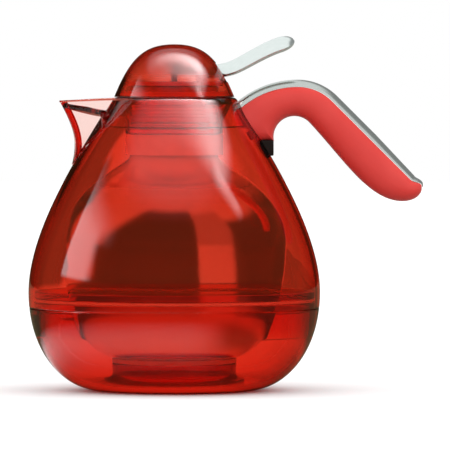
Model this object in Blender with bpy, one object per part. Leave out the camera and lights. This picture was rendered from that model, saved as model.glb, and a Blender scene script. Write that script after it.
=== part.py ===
"""Thermal carafe: a see-through red body and lid round a silvered glass bottle, with a pouring valve in the lid.

Metres, +Z up. The body turns round Z and stands on the plane Z = 0, with the origin in the middle of its foot.
The spout points to -X, the handle and the thumb lever to +X.
"""

import math

import bmesh
import bpy
import numpy as np
from mathutils import Matrix, Vector

MM = 0.001

# Gaps between pieces
FIT = 0.3 * MM
RUN = 0.3 * MM
MERGE = 0.001 * MM

# Facets round the pieces, and steps along them
SHELL_SIDES = 40
INNER_SIDES = 32
SMALL_SIDES = 18
GRIP_SIDES = 16
TRIM_SIDES = 8
LEVER_SIDES = 14
NECK_RINGS = 7
WAIST_RINGS = 7
BOWL_RINGS = 12
DOME_RINGS = 8
BOTTLE_STEPS = 6
SKIRT_RINGS = 6
CUSHION_STEPS = 3
ENVELOPE_RINGS = 9
LEVER_STEPS = 8
LEVER_END_STEPS = 4
ROOT_STEPS = 6
BEND_STEPS = 5
RUN_STEPS = 7
TOE_STEPS = 5
CURVE_STEPS = 64
SMOOTH_ANGLE = math.radians(35.0)

# Outline of the body
RIM_RADIUS = 40.6 * MM
RIM_Z = 193.2 * MM
RIM_LEAN = math.radians(30.7)
SHOULDER_PULL = 37.6 * MM
BELLY_RADIUS = 96.3 * MM
BELLY_Z = 64.9 * MM
BELLY_PULL_UP = 42.3 * MM
BELLY_PULL_DOWN = 39.8 * MM
FOOT_RADIUS = 48.8 * MM
FOOT_PULL = 24.4 * MM
SHELL_WALL = 3.0 * MM

# Seam between the upper shell and the base bowl
SEAM_Z = 54.6 * MM
SPIGOT_HEIGHT = 11.0 * MM
SPIGOT_WALL = 2.6 * MM
GROOVE_RISE = 4.0 * MM
GROOVE_HEIGHT = 2.6 * MM
GROOVE_DEPTH = 1.4 * MM

# Base bowl
BASE_WALL = 3.4 * MM

# Spout
SPOUT_REACH = 75.9 * MM
SPOUT_TIP_DROP = 2.0 * MM
SPOUT_TIP_LEAN = math.radians(28.6)
SPOUT_TIP_PULL = 21.3 * MM
SPOUT_HEIGHT = 46.5 * MM
SPOUT_ROOT_LEAN = math.radians(15.9)
SPOUT_ROOT_PULL = 18.0 * MM
SPOUT_NOSE = 0.07

# Glass bottle
GLASS_WALL = 1.6 * MM
VACUUM_GAP = 5.0 * MM
NECK_VACUUM_GAP = 1.4 * MM
LINER_NECK_RADIUS = 29.2 * MM
LINER_NECK_LENGTH = 12.0 * MM
LINER_NECK_PULL = 5.0 * MM
LINER_BELLY_RADIUS = 74.0 * MM
LINER_BELLY_Z = 98.0 * MM
LINER_BELLY_PULL = 35.0 * MM
LINER_BOTTOM_RADIUS = 36.0 * MM
LINER_BOTTOM_PULL = 26.0 * MM
TIP_RADIUS = 3.0 * MM
TIP_HEIGHT = 7.0 * MM
SPACER_RADIUS = 3.5 * MM
SPACER_EASE = 0.2 * MM
SPACER_COUNT = 3

# Cradle under the bottle
CRADLE_RADIUS = 41.0 * MM
CRADLE_WALL = 3.5 * MM
CRADLE_HEIGHT = 14.0 * MM
CRADLE_FOOT_HEIGHT = 2.5 * MM
CRADLE_FOOT_INSET = 2.0 * MM
CUSHION_HEIGHT = 2.5 * MM

# Collar in the neck, with the pouring tray
COLLAR_GAP = 0.6 * MM
COLLAR_DROP = 1.2 * MM
COLLAR_HEIGHT = 19.0 * MM
COLLAR_WALL = 2.0 * MM
COLLAR_LIP = 1.4 * MM
SKIRT_RAISE = 0.85
SLEEVE_DROP = 14.2 * MM
SLEEVE_HEIGHT = 10.0 * MM
SLEEVE_STEP = 0.8 * MM
SLEEVE_WALL = 2.2 * MM
WEB_HEIGHT = 4.0 * MM
NECK_SEAL_HEIGHT = 2.4 * MM
NECK_SEAL_SKIRT = 11.0 * MM

# Lid dome
LID_HEIGHT = 35.2 * MM
LID_RADIUS = 39.7 * MM
LID_CROWN_PULL = 19.7 * MM
LID_RIM_LEAN = math.radians(22.0)
LID_RIM_PULL = 28.2 * MM
LID_WALL = 2.5 * MM

# Stopper under the dome
STOPPER_GAP = 0.8 * MM
STOPPER_WALL = 3.2 * MM
STOPPER_RISE = 0.5 * MM
SEAT_WALL = 3.0 * MM
SEAT_RADIUS = 12.0 * MM
LIP_SEAL_RISE = 2.6 * MM
LIP_SEAL_HEIGHT = 4.6 * MM
LIP_SEAL_DEPTH = 1.7 * MM
FLANGE_RISE = 0.8 * MM
FLANGE_HEIGHT = 3.0 * MM
PORT_WIDTH = 22.0 * MM
PORT_SILL = 1.5 * MM
PORT_HEAD = 2.0 * MM
PLATE_RISE = 10.3 * MM
PLATE_WALL = 2.8 * MM
PLATE_SPIGOT = 2.4 * MM

# Lever and its pivot
PIVOT_X = 18.0 * MM
PIVOT_RISE = 7.5 * MM
PIN_RADIUS = 1.5 * MM
EAR_RADIUS = 3.5 * MM
EAR_WALL = 3.0 * MM
EAR_SINK = 1.0 * MM
LEVER_PRESS = math.radians(11.0)
LEVER_HUB_RADIUS = 3.4 * MM
LEVER_NECK_WIDTH = 10.0 * MM
LEVER_NECK_THICK = 7.2 * MM
LEVER_PAD_WIDTH = 17.0 * MM
LEVER_PAD_THICK = 8.6 * MM
LEVER_REACH = 48.0 * MM
LEVER_CLIMB = 20.5 * MM
LEVER_NECK_PULL = 6.3 * MM
LEVER_NECK_DIP = 4.8 * MM
LEVER_PAD_PULL_BACK = 24.8 * MM
LEVER_PAD_PULL_DOWN = 3.4 * MM
LEVER_GROWTH = 0.6
LEVER_END_SHARE = 0.14
LEVER_END_BLUNT = 0.14
LEVER_SECTION = 2.8
FORK_HEIGHT = 4.4 * MM
FORK_CROTCH = 5.0 * MM
SIDE_GAP = 0.4 * MM
SLOT_GAP = 0.6 * MM

# Valve
STEM_RADIUS = 2.0 * MM
STEM_HEAD_RADIUS = 6.5 * MM
STEM_HEAD_HEIGHT = 2.5 * MM
STEM_TAIL = 0.7 * MM
NUT_RADIUS = 4.5 * MM
NUT_HEIGHT = 3.0 * MM
NUT_SIDES = 6
PLUG_RADIUS = 16.0 * MM
PLUG_HEIGHT = 2.2 * MM
PLUG_NOSE_GAP = 1.5 * MM
VALVE_SEAL_HEIGHT = 1.8 * MM
SPRING_RADIUS = 8.0 * MM
SPRING_WIRE = 1.3 * MM
SPRING_TURNS = 6
POINTS_PER_CURL = 9

# Handle
ROOT_DROP = 28.7 * MM
ROOT_STANDOFF = 7.6 * MM
ROOT_ANGLE = math.radians(38.0)
ROOT_ARC_RADIUS = 57.2 * MM
ROOT_DEPTH = 11.0 * MM
ARCH_RADIUS = 13.7 * MM
ARCH_FOOT_ANGLE = math.radians(12.0)
CREST_OFFSET = 2.1 * MM
CREST_RISE = 7.1 * MM
CREST_DEPTH = 19.3 * MM
BEND_RADIUS = 32.2 * MM
GRIP_SLOPE = math.radians(45.0)
GRIP_RUN = 73.0 * MM
GRIP_WIDTH = 24.0 * MM
GRIP_SECTION = 2.6
GRIP_FLAT = 0.84
UNDERSIDE_SLOPE = math.radians(47.0)
UNDERSIDE_PULL = 35.0 * MM
HEEL_PULL = 22.0 * MM
TOE_REACH = 7.6 * MM
TOE_DROP = 5.1 * MM
TOE_PULL = 4.0 * MM
TOE_ROUND = 8.0 * MM
TOE_END = 1.0 * MM
TOE_TIP_SHARE = 0.3
HEEL_BACK = 12.7 * MM
HEEL_DROP = 9.3 * MM
TRIM_WIDTH = 13.0 * MM
TRIM_THICK = 4.8 * MM
PAD_HEIGHT = 9.5 * MM
PAD_WIDTH = 18.0 * MM
LIFT_GAP = 1.0 * MM

# Screws that hold the handle, on the two sides of its middle plane
LEFT = 1
RIGHT = -1
SCREW_SPREAD = 12.0 * MM
SCREW_RADIUS = 1.9 * MM
SCREW_BITE = 9.0 * MM
SCREW_HEAD_RADIUS = 3.0 * MM
SCREW_HEAD_HEIGHT = 2.0 * MM

# Heights that follow from the sizes above
LID_BOTTOM_Z = RIM_Z + FIT
LID_TOP_Z = RIM_Z + LID_HEIGHT
SPOUT_TIP_Z = RIM_Z - SPOUT_TIP_DROP
SPOUT_ROOT_Z = RIM_Z - SPOUT_HEIGHT
COLLAR_TOP_Z = RIM_Z - COLLAR_DROP
COLLAR_BOTTOM_Z = COLLAR_TOP_Z - COLLAR_HEIGHT
SLEEVE_TOP_Z = RIM_Z - SLEEVE_DROP
SLEEVE_BOTTOM_Z = SLEEVE_TOP_Z - SLEEVE_HEIGHT
SLEEVE_BORE = LINER_NECK_RADIUS + SLEEVE_STEP
SLEEVE_OUTER = SLEEVE_BORE + SLEEVE_WALL
MOUTH_Z = SLEEVE_BOTTOM_Z - NECK_SEAL_HEIGHT - 2 * FIT
MOUTH_BORE = LINER_NECK_RADIUS - 2 * GLASS_WALL - NECK_VACUUM_GAP
SHOULDER_Z = MOUTH_Z - LINER_NECK_LENGTH
CRADLE_TOP_Z = BASE_WALL + FIT + CRADLE_HEIGHT
LINER_BOTTOM_Z = CRADLE_TOP_Z + CUSHION_HEIGHT + 2 * FIT
STOPPER_RADIUS = SLEEVE_BORE - STOPPER_GAP
STOPPER_BORE = STOPPER_RADIUS - STOPPER_WALL
STOPPER_BOTTOM_Z = SLEEVE_BOTTOM_Z + STOPPER_RISE
SEAT_Z = STOPPER_BOTTOM_Z + SEAT_WALL
FLANGE_Z = RIM_Z + FLANGE_RISE
PLATE_TOP_Z = RIM_Z + PLATE_RISE
PLATE_BOTTOM_Z = PLATE_TOP_Z - PLATE_WALL
SPRING_TOP_Z = PLATE_BOTTOM_Z - PLATE_SPIGOT - FIT
PIVOT_Z = PLATE_TOP_Z + PIVOT_RISE
EAR_INNER_Y = LEVER_NECK_WIDTH / 2 + SIDE_GAP
EAR_OUTER_Y = EAR_INNER_Y + EAR_WALL
STEM_HEAD_Z = PIVOT_Z + FORK_HEIGHT / 2 + RUN
PLUG_Z = SEAT_Z + VALVE_SEAL_HEIGHT + 2 * FIT
PLUG_TOP_Z = PLUG_Z + PLUG_HEIGHT
PLUG_NOSE = SEAT_RADIUS - PLUG_NOSE_GAP
ROOT_BOTTOM_Z = RIM_Z - ROOT_DROP
SCREW_Z = (COLLAR_BOTTOM_Z + ROOT_BOTTOM_Z) / 2


def bezier(start, start_pull, end_pull, end, count):
    """Points of a cubic curve, both ends included."""
    step = np.linspace(0.0, 1.0, count + 1)[:, None]
    rest = 1.0 - step
    points = (
        rest**3 * np.array(start)
        + 3.0 * rest**2 * step * np.array(start_pull)
        + 3.0 * rest * step**2 * np.array(end_pull)
        + step**3 * np.array(end)
    )
    return [tuple(point) for point in points]


def arc(centre, radius, start, end, count):
    """Points of an arc from one angle to another, both ends included."""
    angles = np.linspace(start, end, count + 1)
    return [(centre[0] + radius * math.cos(a), centre[1] + radius * math.sin(a)) for a in angles]


def line(start, end, count):
    """Evenly spaced points, both ends included."""
    return [tuple(point) for point in np.linspace(start, end, count + 1)]


def offset(points, distance):
    """The outline moved to the left of its own direction."""
    curve = np.array(points)
    along = np.gradient(curve, axis=0)
    along /= np.linalg.norm(along, axis=1)[:, None]
    moved = curve + distance * np.column_stack((-along[:, 1], along[:, 0]))
    return [tuple(point) for point in moved]


def radius_at(outline, z):
    """Radius of a turned outline, given from top to bottom, at a height."""
    curve = np.array(outline)[::-1]
    return float(np.interp(z, curve[:, 1], curve[:, 0]))


SHOULDER_LINE = bezier(
    (RIM_RADIUS, RIM_Z),
    (RIM_RADIUS + SHOULDER_PULL * math.sin(RIM_LEAN), RIM_Z - SHOULDER_PULL * math.cos(RIM_LEAN)),
    (BELLY_RADIUS, BELLY_Z + BELLY_PULL_UP),
    (BELLY_RADIUS, BELLY_Z),
    CURVE_STEPS,
)
BOWL_LINE = bezier(
    (BELLY_RADIUS, BELLY_Z),
    (BELLY_RADIUS, BELLY_Z - BELLY_PULL_DOWN),
    (FOOT_RADIUS + FOOT_PULL, 0.0),
    (FOOT_RADIUS, 0.0),
    CURVE_STEPS,
)
BODY_LINE = SHOULDER_LINE + BOWL_LINE[1:]


def body_radius(z):
    return radius_at(BODY_LINE, z)


def body_slope(z):
    """Change of the body's radius with height."""
    top = min(z, RIM_Z - MM)
    return (body_radius(top + MM) - body_radius(top - MM)) / (2 * MM)


def shell_bore(z):
    """Inner radius of the upper shell, whose wall is measured square to its surface."""
    return body_radius(z) - SHELL_WALL * math.hypot(1.0, body_slope(z))


SPOUT_LINE = bezier(
    (SPOUT_REACH, SPOUT_TIP_Z),
    (
        SPOUT_REACH - SPOUT_TIP_PULL * math.sin(SPOUT_TIP_LEAN),
        SPOUT_TIP_Z - SPOUT_TIP_PULL * math.cos(SPOUT_TIP_LEAN),
    ),
    (
        body_radius(SPOUT_ROOT_Z) - SPOUT_ROOT_PULL * math.sin(SPOUT_ROOT_LEAN),
        SPOUT_ROOT_Z + SPOUT_ROOT_PULL * math.cos(SPOUT_ROOT_LEAN),
    ),
    (body_radius(SPOUT_ROOT_Z), SPOUT_ROOT_Z),
    CURVE_STEPS,
)


def spouted(point):
    """A point of the turned neck drawn out into the beak, and how far along the beak it lies.

    At each height the beak's sides run from its prow to the round neck and touch it there.
    """
    x, y, z = point
    if z <= SPOUT_ROOT_Z:
        return Vector(point), 0.0
    climb = (z - SPOUT_ROOT_Z) / (RIM_Z - SPOUT_ROOT_Z)
    prow_z = SPOUT_ROOT_Z + climb * (SPOUT_TIP_Z - SPOUT_ROOT_Z)
    ratio = max(radius_at(SPOUT_LINE, prow_z) / body_radius(z), 1.0)
    bearing = math.atan2(abs(y), -x)
    rounded = math.hypot(bearing, SPOUT_NOSE) - SPOUT_NOSE
    stretch = 1.0 / math.cos(max(math.acos(1.0 / ratio) - rounded, 0.0))
    along = (stretch - 1.0) / max(ratio - 1.0, MM)
    return Vector((x * stretch, y * stretch, z + along * (prow_z - z))), along


def lid_line(crown_z, rim_radius, scale):
    """Half of the dome's outline, from its crown to its rim."""
    return bezier(
        (0.0, crown_z),
        (LID_CROWN_PULL * scale, crown_z),
        (
            rim_radius - LID_RIM_PULL * scale * math.sin(LID_RIM_LEAN),
            LID_BOTTOM_Z + LID_RIM_PULL * scale * math.cos(LID_RIM_LEAN),
        ),
        (rim_radius, LID_BOTTOM_Z),
        CURVE_STEPS,
    )


LID_BORE = LID_RADIUS - LID_WALL / math.cos(LID_RIM_LEAN)
LID_OUTER_LINE = lid_line(LID_TOP_Z, LID_RADIUS, 1.0)
LID_INNER_LINE = lid_line(LID_TOP_Z - LID_WALL, LID_BORE, LID_BORE / LID_RADIUS)


def thinned(points, count):
    """About count steps of a finely stepped line, ends kept."""
    picks = np.linspace(0, len(points) - 1, count + 1).round().astype(int)
    return [points[pick] for pick in picks]


def material(name, colour, roughness, metallic=0.0):
    """A plain finish: linear colour, roughness and metallic value."""
    made = bpy.data.materials.new(name)
    made.use_nodes = True
    shader = made.node_tree.nodes["Principled BSDF"]
    shader.inputs["Base Color"].default_value = (*colour, 1.0)
    shader.inputs["Roughness"].default_value = roughness
    shader.inputs["Metallic"].default_value = metallic
    return made


def frame(name, point, parent=None):
    """An empty at a world point, which the pieces of one moving group hang on."""
    empty = bpy.data.objects.new(name, None)
    bpy.context.scene.collection.objects.link(empty)
    empty.parent = parent
    empty.location = Vector(point) - (world_point(parent) if parent else Vector())
    return empty


def world_point(empty):
    """World place of an empty that is moved but never turned."""
    point = Vector()
    while empty:
        point += empty.location
        empty = empty.parent
    return point


def add_piece(name, shape, finish, parent):
    """A named object from a mesh drawn in world places, with its origin at its parent."""
    bmesh.ops.recalc_face_normals(shape, faces=shape.faces)
    bmesh.ops.translate(shape, verts=shape.verts, vec=-world_point(parent))
    mesh = bpy.data.meshes.new(name)
    shape.to_mesh(mesh)
    shape.free()
    mesh.shade_smooth()
    mesh.set_sharp_from_angle(angle=SMOOTH_ANGLE)
    mesh.materials.append(finish)
    piece = bpy.data.objects.new(name, mesh)
    piece.parent = parent
    bpy.context.scene.collection.objects.link(piece)
    return piece


def tool(piece, name, shape, operation):
    """A hidden body that is cut from a piece or joined to it."""
    bmesh.ops.recalc_face_normals(shape, faces=shape.faces)
    mesh = bpy.data.meshes.new(name)
    shape.to_mesh(mesh)
    shape.free()
    body = bpy.data.objects.new(name, mesh)
    body.hide_render = True
    body.display_type = "WIRE"
    bpy.context.scene.collection.objects.link(body)
    step = piece.modifiers.new(name, "BOOLEAN")
    step.operation = operation
    step.solver = "EXACT"
    step.object = body
    return body


def turned(outline, sides):
    """A body turned round Z. An outline that starts and ends on the axis stays open there."""
    shape = bmesh.new()
    corners = [shape.verts.new((radius, 0.0, z)) for radius, z in outline]
    pairs = list(zip(corners, corners[1:]))
    if outline[0][0] > 0.0:
        pairs.append((corners[-1], corners[0]))
    edges = [shape.edges.new(pair) for pair in pairs]
    bmesh.ops.spin(
        shape,
        geom=corners + edges,
        cent=(0.0, 0.0, 0.0),
        axis=(0.0, 0.0, 1.0),
        angle=2.0 * math.pi,
        steps=sides,
        use_merge=True,
    )
    bmesh.ops.remove_doubles(shape, verts=shape.verts, dist=MERGE)
    return shape


def lofted(rings):
    """A body through rings of as many points each, closed at both ends."""
    shape = bmesh.new()
    rows = [[shape.verts.new(point) for point in ring] for ring in rings]
    for row, following in zip(rows, rows[1:]):
        for side in range(len(row)):
            near = (side + 1) % len(row)
            shape.faces.new((row[side], row[near], following[near], following[side]))
    shape.faces.new(rows[0])
    shape.faces.new(rows[-1])
    return shape


def extruded(outline, low_y, high_y):
    """An outline in the XZ plane drawn out along Y."""
    return lofted([[(x, y, z) for x, z in outline] for y in (low_y, high_y)])


def block(low, high):
    """A box between two corners."""
    return extruded(
        [(low[0], low[2]), (high[0], low[2]), (high[0], high[2]), (low[0], high[2])], low[1], high[1]
    )


def rod(centre_x, centre_z, radius, half_length):
    """A round bar along Y."""
    outline = arc((centre_x, centre_z), radius, 0.0, 2.0 * math.pi, SMALL_SIDES)[:-1]
    return extruded(outline, -half_length, half_length)


def rounded_ring(centre, half_up, half_width, power, sides, flat=1.0):
    """A rounded section: half_up is its half depth as a vector, flat cuts its top level."""
    ring = []
    for side in range(sides):
        angle = 2.0 * math.pi * (side + 0.5) / sides
        across = math.copysign(abs(math.cos(angle)) ** (2.0 / power), math.cos(angle))
        up = math.copysign(abs(math.sin(angle)) ** (2.0 / power), math.sin(angle))
        up = (min(up, flat) + 1.0) * 2.0 / (flat + 1.0) - 1.0
        ring.append(
            (centre[0] + half_up[0] * up, half_width * across, centre[1] + half_up[1] * up)
        )
    return ring


def remove_scene_objects():
    for old in list(bpy.data.objects):
        bpy.data.objects.remove(old)


remove_scene_objects()

RED_ACRYLIC = material("red_acrylic", (0.60, 0.035, 0.025), 0.05)
RED_PLASTIC = material("red_plastic", (0.55, 0.05, 0.04), 0.35)
RED_STOPPER = material("red_stopper", (0.45, 0.03, 0.02), 0.3)
SILVERED_GLASS = material("silvered_glass", (0.80, 0.80, 0.82), 0.05, 1.0)
CHROME = material("chrome", (0.75, 0.78, 0.77), 0.12, 1.0)
STEEL = material("stainless_steel", (0.55, 0.56, 0.57), 0.3, 1.0)
BLACK_RUBBER = material("black_rubber", (0.012, 0.010, 0.010), 0.6)
CLEAR_SILICONE = material("clear_silicone", (0.70, 0.68, 0.66), 0.45)
WHITE_PLASTIC = material("white_plastic", (0.75, 0.74, 0.72), 0.4)

CARAFE = frame("carafe", (0.0, 0.0, 0.0))
LID = frame("lid", (0.0, 0.0, RIM_Z), CARAFE)
LEVER = frame("lever", (PIVOT_X, 0.0, PIVOT_Z), LID)
VALVE = frame("valve", (0.0, 0.0, SEAT_Z), LID)


def add_upper_shell():
    """Pear-shaped shell from the rim down to the seam, with the beak drawn out of its neck."""
    heights = list(np.linspace(RIM_Z, SPOUT_ROOT_Z, NECK_RINGS))
    heights += list(np.linspace(SPOUT_ROOT_Z, SEAM_Z, WAIST_RINGS + 1)[1:])
    outline = [(body_radius(z), z) for z in heights]
    outline += [(shell_bore(z), z) for z in heights[::-1]]
    shape = turned(outline, SHELL_SIDES)
    for vert in shape.verts:
        vert.co = spouted(vert.co)[0]
    return add_piece("upper_shell", shape, RED_ACRYLIC, CARAFE)


def spigot_radius():
    return shell_bore(SEAM_Z) - FIT


def add_base_bowl():
    """Bowl that closes the shell below: a flat foot, a curved wall and a grooved spigot."""
    outer = [point for point in thinned(BOWL_LINE, BOWL_RINGS) if point[1] < SEAM_Z - BASE_WALL]
    bore = spigot_radius() - SPIGOT_WALL
    inner = [point for point in offset(outer, -BASE_WALL)[::-1] if point[0] < bore - MM]
    groove_low = SEAM_Z + GROOVE_RISE
    groove_high = groove_low + GROOVE_HEIGHT
    groove_radius = spigot_radius() - GROOVE_DEPTH
    spigot_top = SEAM_Z + SPIGOT_HEIGHT
    outline = [(0.0, 0.0)] + outer[::-1]
    outline += [
        (body_radius(SEAM_Z - FIT), SEAM_Z - FIT),
        (spigot_radius(), SEAM_Z - FIT),
        (spigot_radius(), groove_low),
        (groove_radius, groove_low),
        (groove_radius, groove_high),
        (spigot_radius(), groove_high),
        (spigot_radius(), spigot_top),
        (bore, spigot_top),
        (bore, SEAM_Z - FIT),
    ]
    outline += inner[::-1]
    outline.append((0.0, inner[0][1]))
    return add_piece("base_bowl", turned(outline, SHELL_SIDES), RED_ACRYLIC, CARAFE)


def add_joint_seal():
    """Soft ring in the spigot's groove."""
    low = SEAM_Z + GROOVE_RISE + FIT
    high = SEAM_Z + GROOVE_RISE + GROOVE_HEIGHT - FIT
    inner = spigot_radius() - GROOVE_DEPTH + FIT
    outline = [(spigot_radius(), high), (spigot_radius(), low), (inner, low), (inner, high)]
    add_piece("joint_seal", turned(outline, SHELL_SIDES), CLEAR_SILICONE, CARAFE)


def bottle_lines(inset, neck_radius, bottom_inset, steps):
    """Neck, shoulder and bowl of one glass face, inset from the outer bottle's own outer face."""
    neck_z = SHOULDER_Z - inset
    belly = LINER_BELLY_RADIUS - inset
    bottom = (LINER_BOTTOM_RADIUS - bottom_inset, LINER_BOTTOM_Z + inset)
    shoulder = bezier(
        (neck_radius, neck_z),
        (neck_radius, neck_z - LINER_NECK_PULL),
        (belly, LINER_BELLY_Z + LINER_BELLY_PULL - inset),
        (belly, LINER_BELLY_Z),
        steps,
    )
    bowl = bezier(
        (belly, LINER_BELLY_Z),
        (belly, LINER_BELLY_Z - LINER_BELLY_PULL + inset),
        (bottom[0] + LINER_BOTTOM_PULL, bottom[1]),
        bottom,
        steps,
    )
    return shoulder + bowl[1:]


OUTER_BOTTLE_IN = GLASS_WALL
INNER_BOTTLE_OUT = GLASS_WALL + VACUUM_GAP
INNER_BOTTLE_IN = 2 * GLASS_WALL + VACUUM_GAP
LIP_Z = MOUTH_Z - GLASS_WALL
INNER_NECK_RADIUS = MOUTH_BORE + GLASS_WALL


def add_liner_walls():
    """Two glass bottles, one inside the other: the inner one's lip covers the gap at the mouth."""
    outer_top = LIP_Z - FIT
    outside = [(LINER_NECK_RADIUS, outer_top)] + bottle_lines(0.0, LINER_NECK_RADIUS, 0.0, BOTTLE_STEPS)
    tip_z = LINER_BOTTOM_Z - TIP_HEIGHT
    tip = [(2 * TIP_RADIUS, LINER_BOTTOM_Z - MM), (TIP_RADIUS, tip_z + TIP_RADIUS), (0.0, tip_z)]
    neck = LINER_NECK_RADIUS - GLASS_WALL
    inside = [(neck, outer_top)] + bottle_lines(OUTER_BOTTLE_IN, neck, GLASS_WALL, BOTTLE_STEPS)
    inside.append((0.0, LINER_BOTTOM_Z + GLASS_WALL))
    outline = inside[::-1] + outside + tip
    add_piece("liner_outer_wall", turned(outline, INNER_SIDES), SILVERED_GLASS, CARAFE)

    outside = [(INNER_NECK_RADIUS, LIP_Z)]
    outside += bottle_lines(INNER_BOTTLE_OUT, INNER_NECK_RADIUS, INNER_BOTTLE_OUT, BOTTLE_STEPS)
    outside.append((0.0, LINER_BOTTOM_Z + INNER_BOTTLE_OUT))
    inside = [(MOUTH_BORE, MOUTH_Z)]
    inside += bottle_lines(INNER_BOTTLE_IN, MOUTH_BORE, INNER_BOTTLE_IN, BOTTLE_STEPS)
    inside.append((0.0, LINER_BOTTOM_Z + INNER_BOTTLE_IN))
    lip = [(LINER_NECK_RADIUS, MOUTH_Z), (LINER_NECK_RADIUS, LIP_Z)]
    outline = inside[::-1] + lip + outside
    add_piece("liner_inner_wall", turned(outline, INNER_SIDES), SILVERED_GLASS, CARAFE)


def add_liner_spacers():
    """Small pads low in the vacuum space that keep the two glass walls apart, each square to a facet."""
    half_facet = math.pi / INNER_SIDES
    walls = (
        bottle_lines(INNER_BOTTLE_OUT, 0.0, INNER_BOTTLE_OUT, BOTTLE_STEPS),
        bottle_lines(OUTER_BOTTLE_IN, 0.0, GLASS_WALL, BOTTLE_STEPS),
    )
    middle = Vector()
    across = Vector()
    facets = []
    for wall in walls:
        high, low = (Vector((r, 0.0, z)) for r, z in wall[3 * BOTTLE_STEPS // 2 :][:2])
        facets.append((high + low) / 2)
        middle += (high + low) / 4
        across += Vector((high.z - low.z, 0.0, low.x - high.x)).normalized()
    across.normalize()
    middle.x *= math.cos(half_facet)
    length = (facets[1] - facets[0]).dot(across) - 2 * (FIT + SPACER_EASE)
    for number in range(SPACER_COUNT):
        turn = Matrix.Rotation(2.0 * math.pi * number / SPACER_COUNT + half_facet, 4, "Z")
        lean = across.to_track_quat("Z", "Y").to_matrix().to_4x4()
        place = turn @ Matrix.Translation(middle) @ lean
        shape = bmesh.new()
        bmesh.ops.create_cone(
            shape,
            cap_ends=True,
            segments=SMALL_SIDES,
            radius1=SPACER_RADIUS,
            radius2=SPACER_RADIUS,
            depth=length,
            matrix=place,
        )
        add_piece(f"liner_spacer_{number + 1}", shape, WHITE_PLASTIC, CARAFE)


def add_cradle():
    """Pedestal ring that carries the bottle, with a soft ring between them."""
    floor = BASE_WALL + FIT
    inner = CRADLE_RADIUS - CRADLE_WALL
    foot = FOOT_RADIUS - CRADLE_FOOT_INSET
    foot_top = floor + CRADLE_FOOT_HEIGHT
    outline = [
        (CRADLE_RADIUS, CRADLE_TOP_Z),
        (CRADLE_RADIUS, foot_top + CRADLE_FOOT_HEIGHT),
        (foot, foot_top),
        (foot, floor),
        (inner, floor),
        (inner, CRADLE_TOP_Z),
    ]
    add_piece("liner_cradle", turned(outline, INNER_SIDES), RED_ACRYLIC, CARAFE)

    bowl = np.array(bottle_lines(0.0, LINER_NECK_RADIUS, 0.0, CURVE_STEPS))[::-1]
    radii = np.linspace(inner, CRADLE_RADIUS, CUSHION_STEPS + 1)
    seat = [(r, float(np.interp(r, bowl[:CURVE_STEPS, 0], bowl[:CURVE_STEPS, 1])) - FIT) for r in radii]
    outline = [(inner, CRADLE_TOP_Z + FIT)] + seat + [(CRADLE_RADIUS, CRADLE_TOP_Z + FIT)]
    add_piece("cradle_cushion", turned(outline, INNER_SIDES), CLEAR_SILICONE, CARAFE)


def add_neck_seal():
    """Soft ring over the bottle's mouth, with a skirt down the outside of its neck."""
    low = MOUTH_Z + FIT
    high = SLEEVE_BOTTOM_Z - FIT
    skirt = LINER_NECK_RADIUS + FIT
    skirt_z = MOUTH_Z - NECK_SEAL_SKIRT
    outline = [
        (MOUTH_BORE, high),
        (SLEEVE_OUTER, high),
        (SLEEVE_OUTER, skirt_z),
        (skirt, skirt_z),
        (skirt, low),
        (MOUTH_BORE, low),
    ]
    add_piece("neck_seal", turned(outline, INNER_SIDES), CLEAR_SILICONE, CARAFE)


def add_neck_collar():
    """Ring that lines the neck: a skirt on the shell, a sleeve for the stopper, and a web between them.

    In the beak the skirt is drawn out with the shell and cut short, and the web becomes the pouring tray.
    """
    web_z = COLLAR_TOP_Z - WEB_HEIGHT
    outline = [(shell_bore(z) - COLLAR_GAP, z) for z in np.linspace(COLLAR_TOP_Z, COLLAR_BOTTOM_Z, SKIRT_RINGS)]
    for z in np.linspace(COLLAR_BOTTOM_Z, web_z, SKIRT_RINGS - 1):
        outline.append((shell_bore(z) - COLLAR_GAP - COLLAR_WALL, z))
    outline += [
        (SLEEVE_OUTER, SLEEVE_TOP_Z - COLLAR_WALL),
        (SLEEVE_OUTER, SLEEVE_BOTTOM_Z),
        (SLEEVE_BORE, SLEEVE_BOTTOM_Z),
        (SLEEVE_BORE, SLEEVE_TOP_Z),
        (shell_bore(COLLAR_TOP_Z) - COLLAR_GAP - COLLAR_LIP, COLLAR_TOP_Z),
    ]
    shape = turned(outline, SHELL_SIDES)
    for vert in shape.verts:
        x, y, z = vert.co
        radius = math.hypot(x, y)
        inset = shell_bore(z) - radius
        if inset > COLLAR_GAP + COLLAR_WALL + MERGE:
            continue
        along = spouted(vert.co)[1]
        raised = z + along * SKIRT_RAISE * max(web_z - z, 0.0)
        scale = (shell_bore(raised) - inset) / radius
        vert.co = spouted((x * scale, y * scale, raised))[0]
    add_piece("neck_collar", shape, RED_ACRYLIC, CARAFE)


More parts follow.
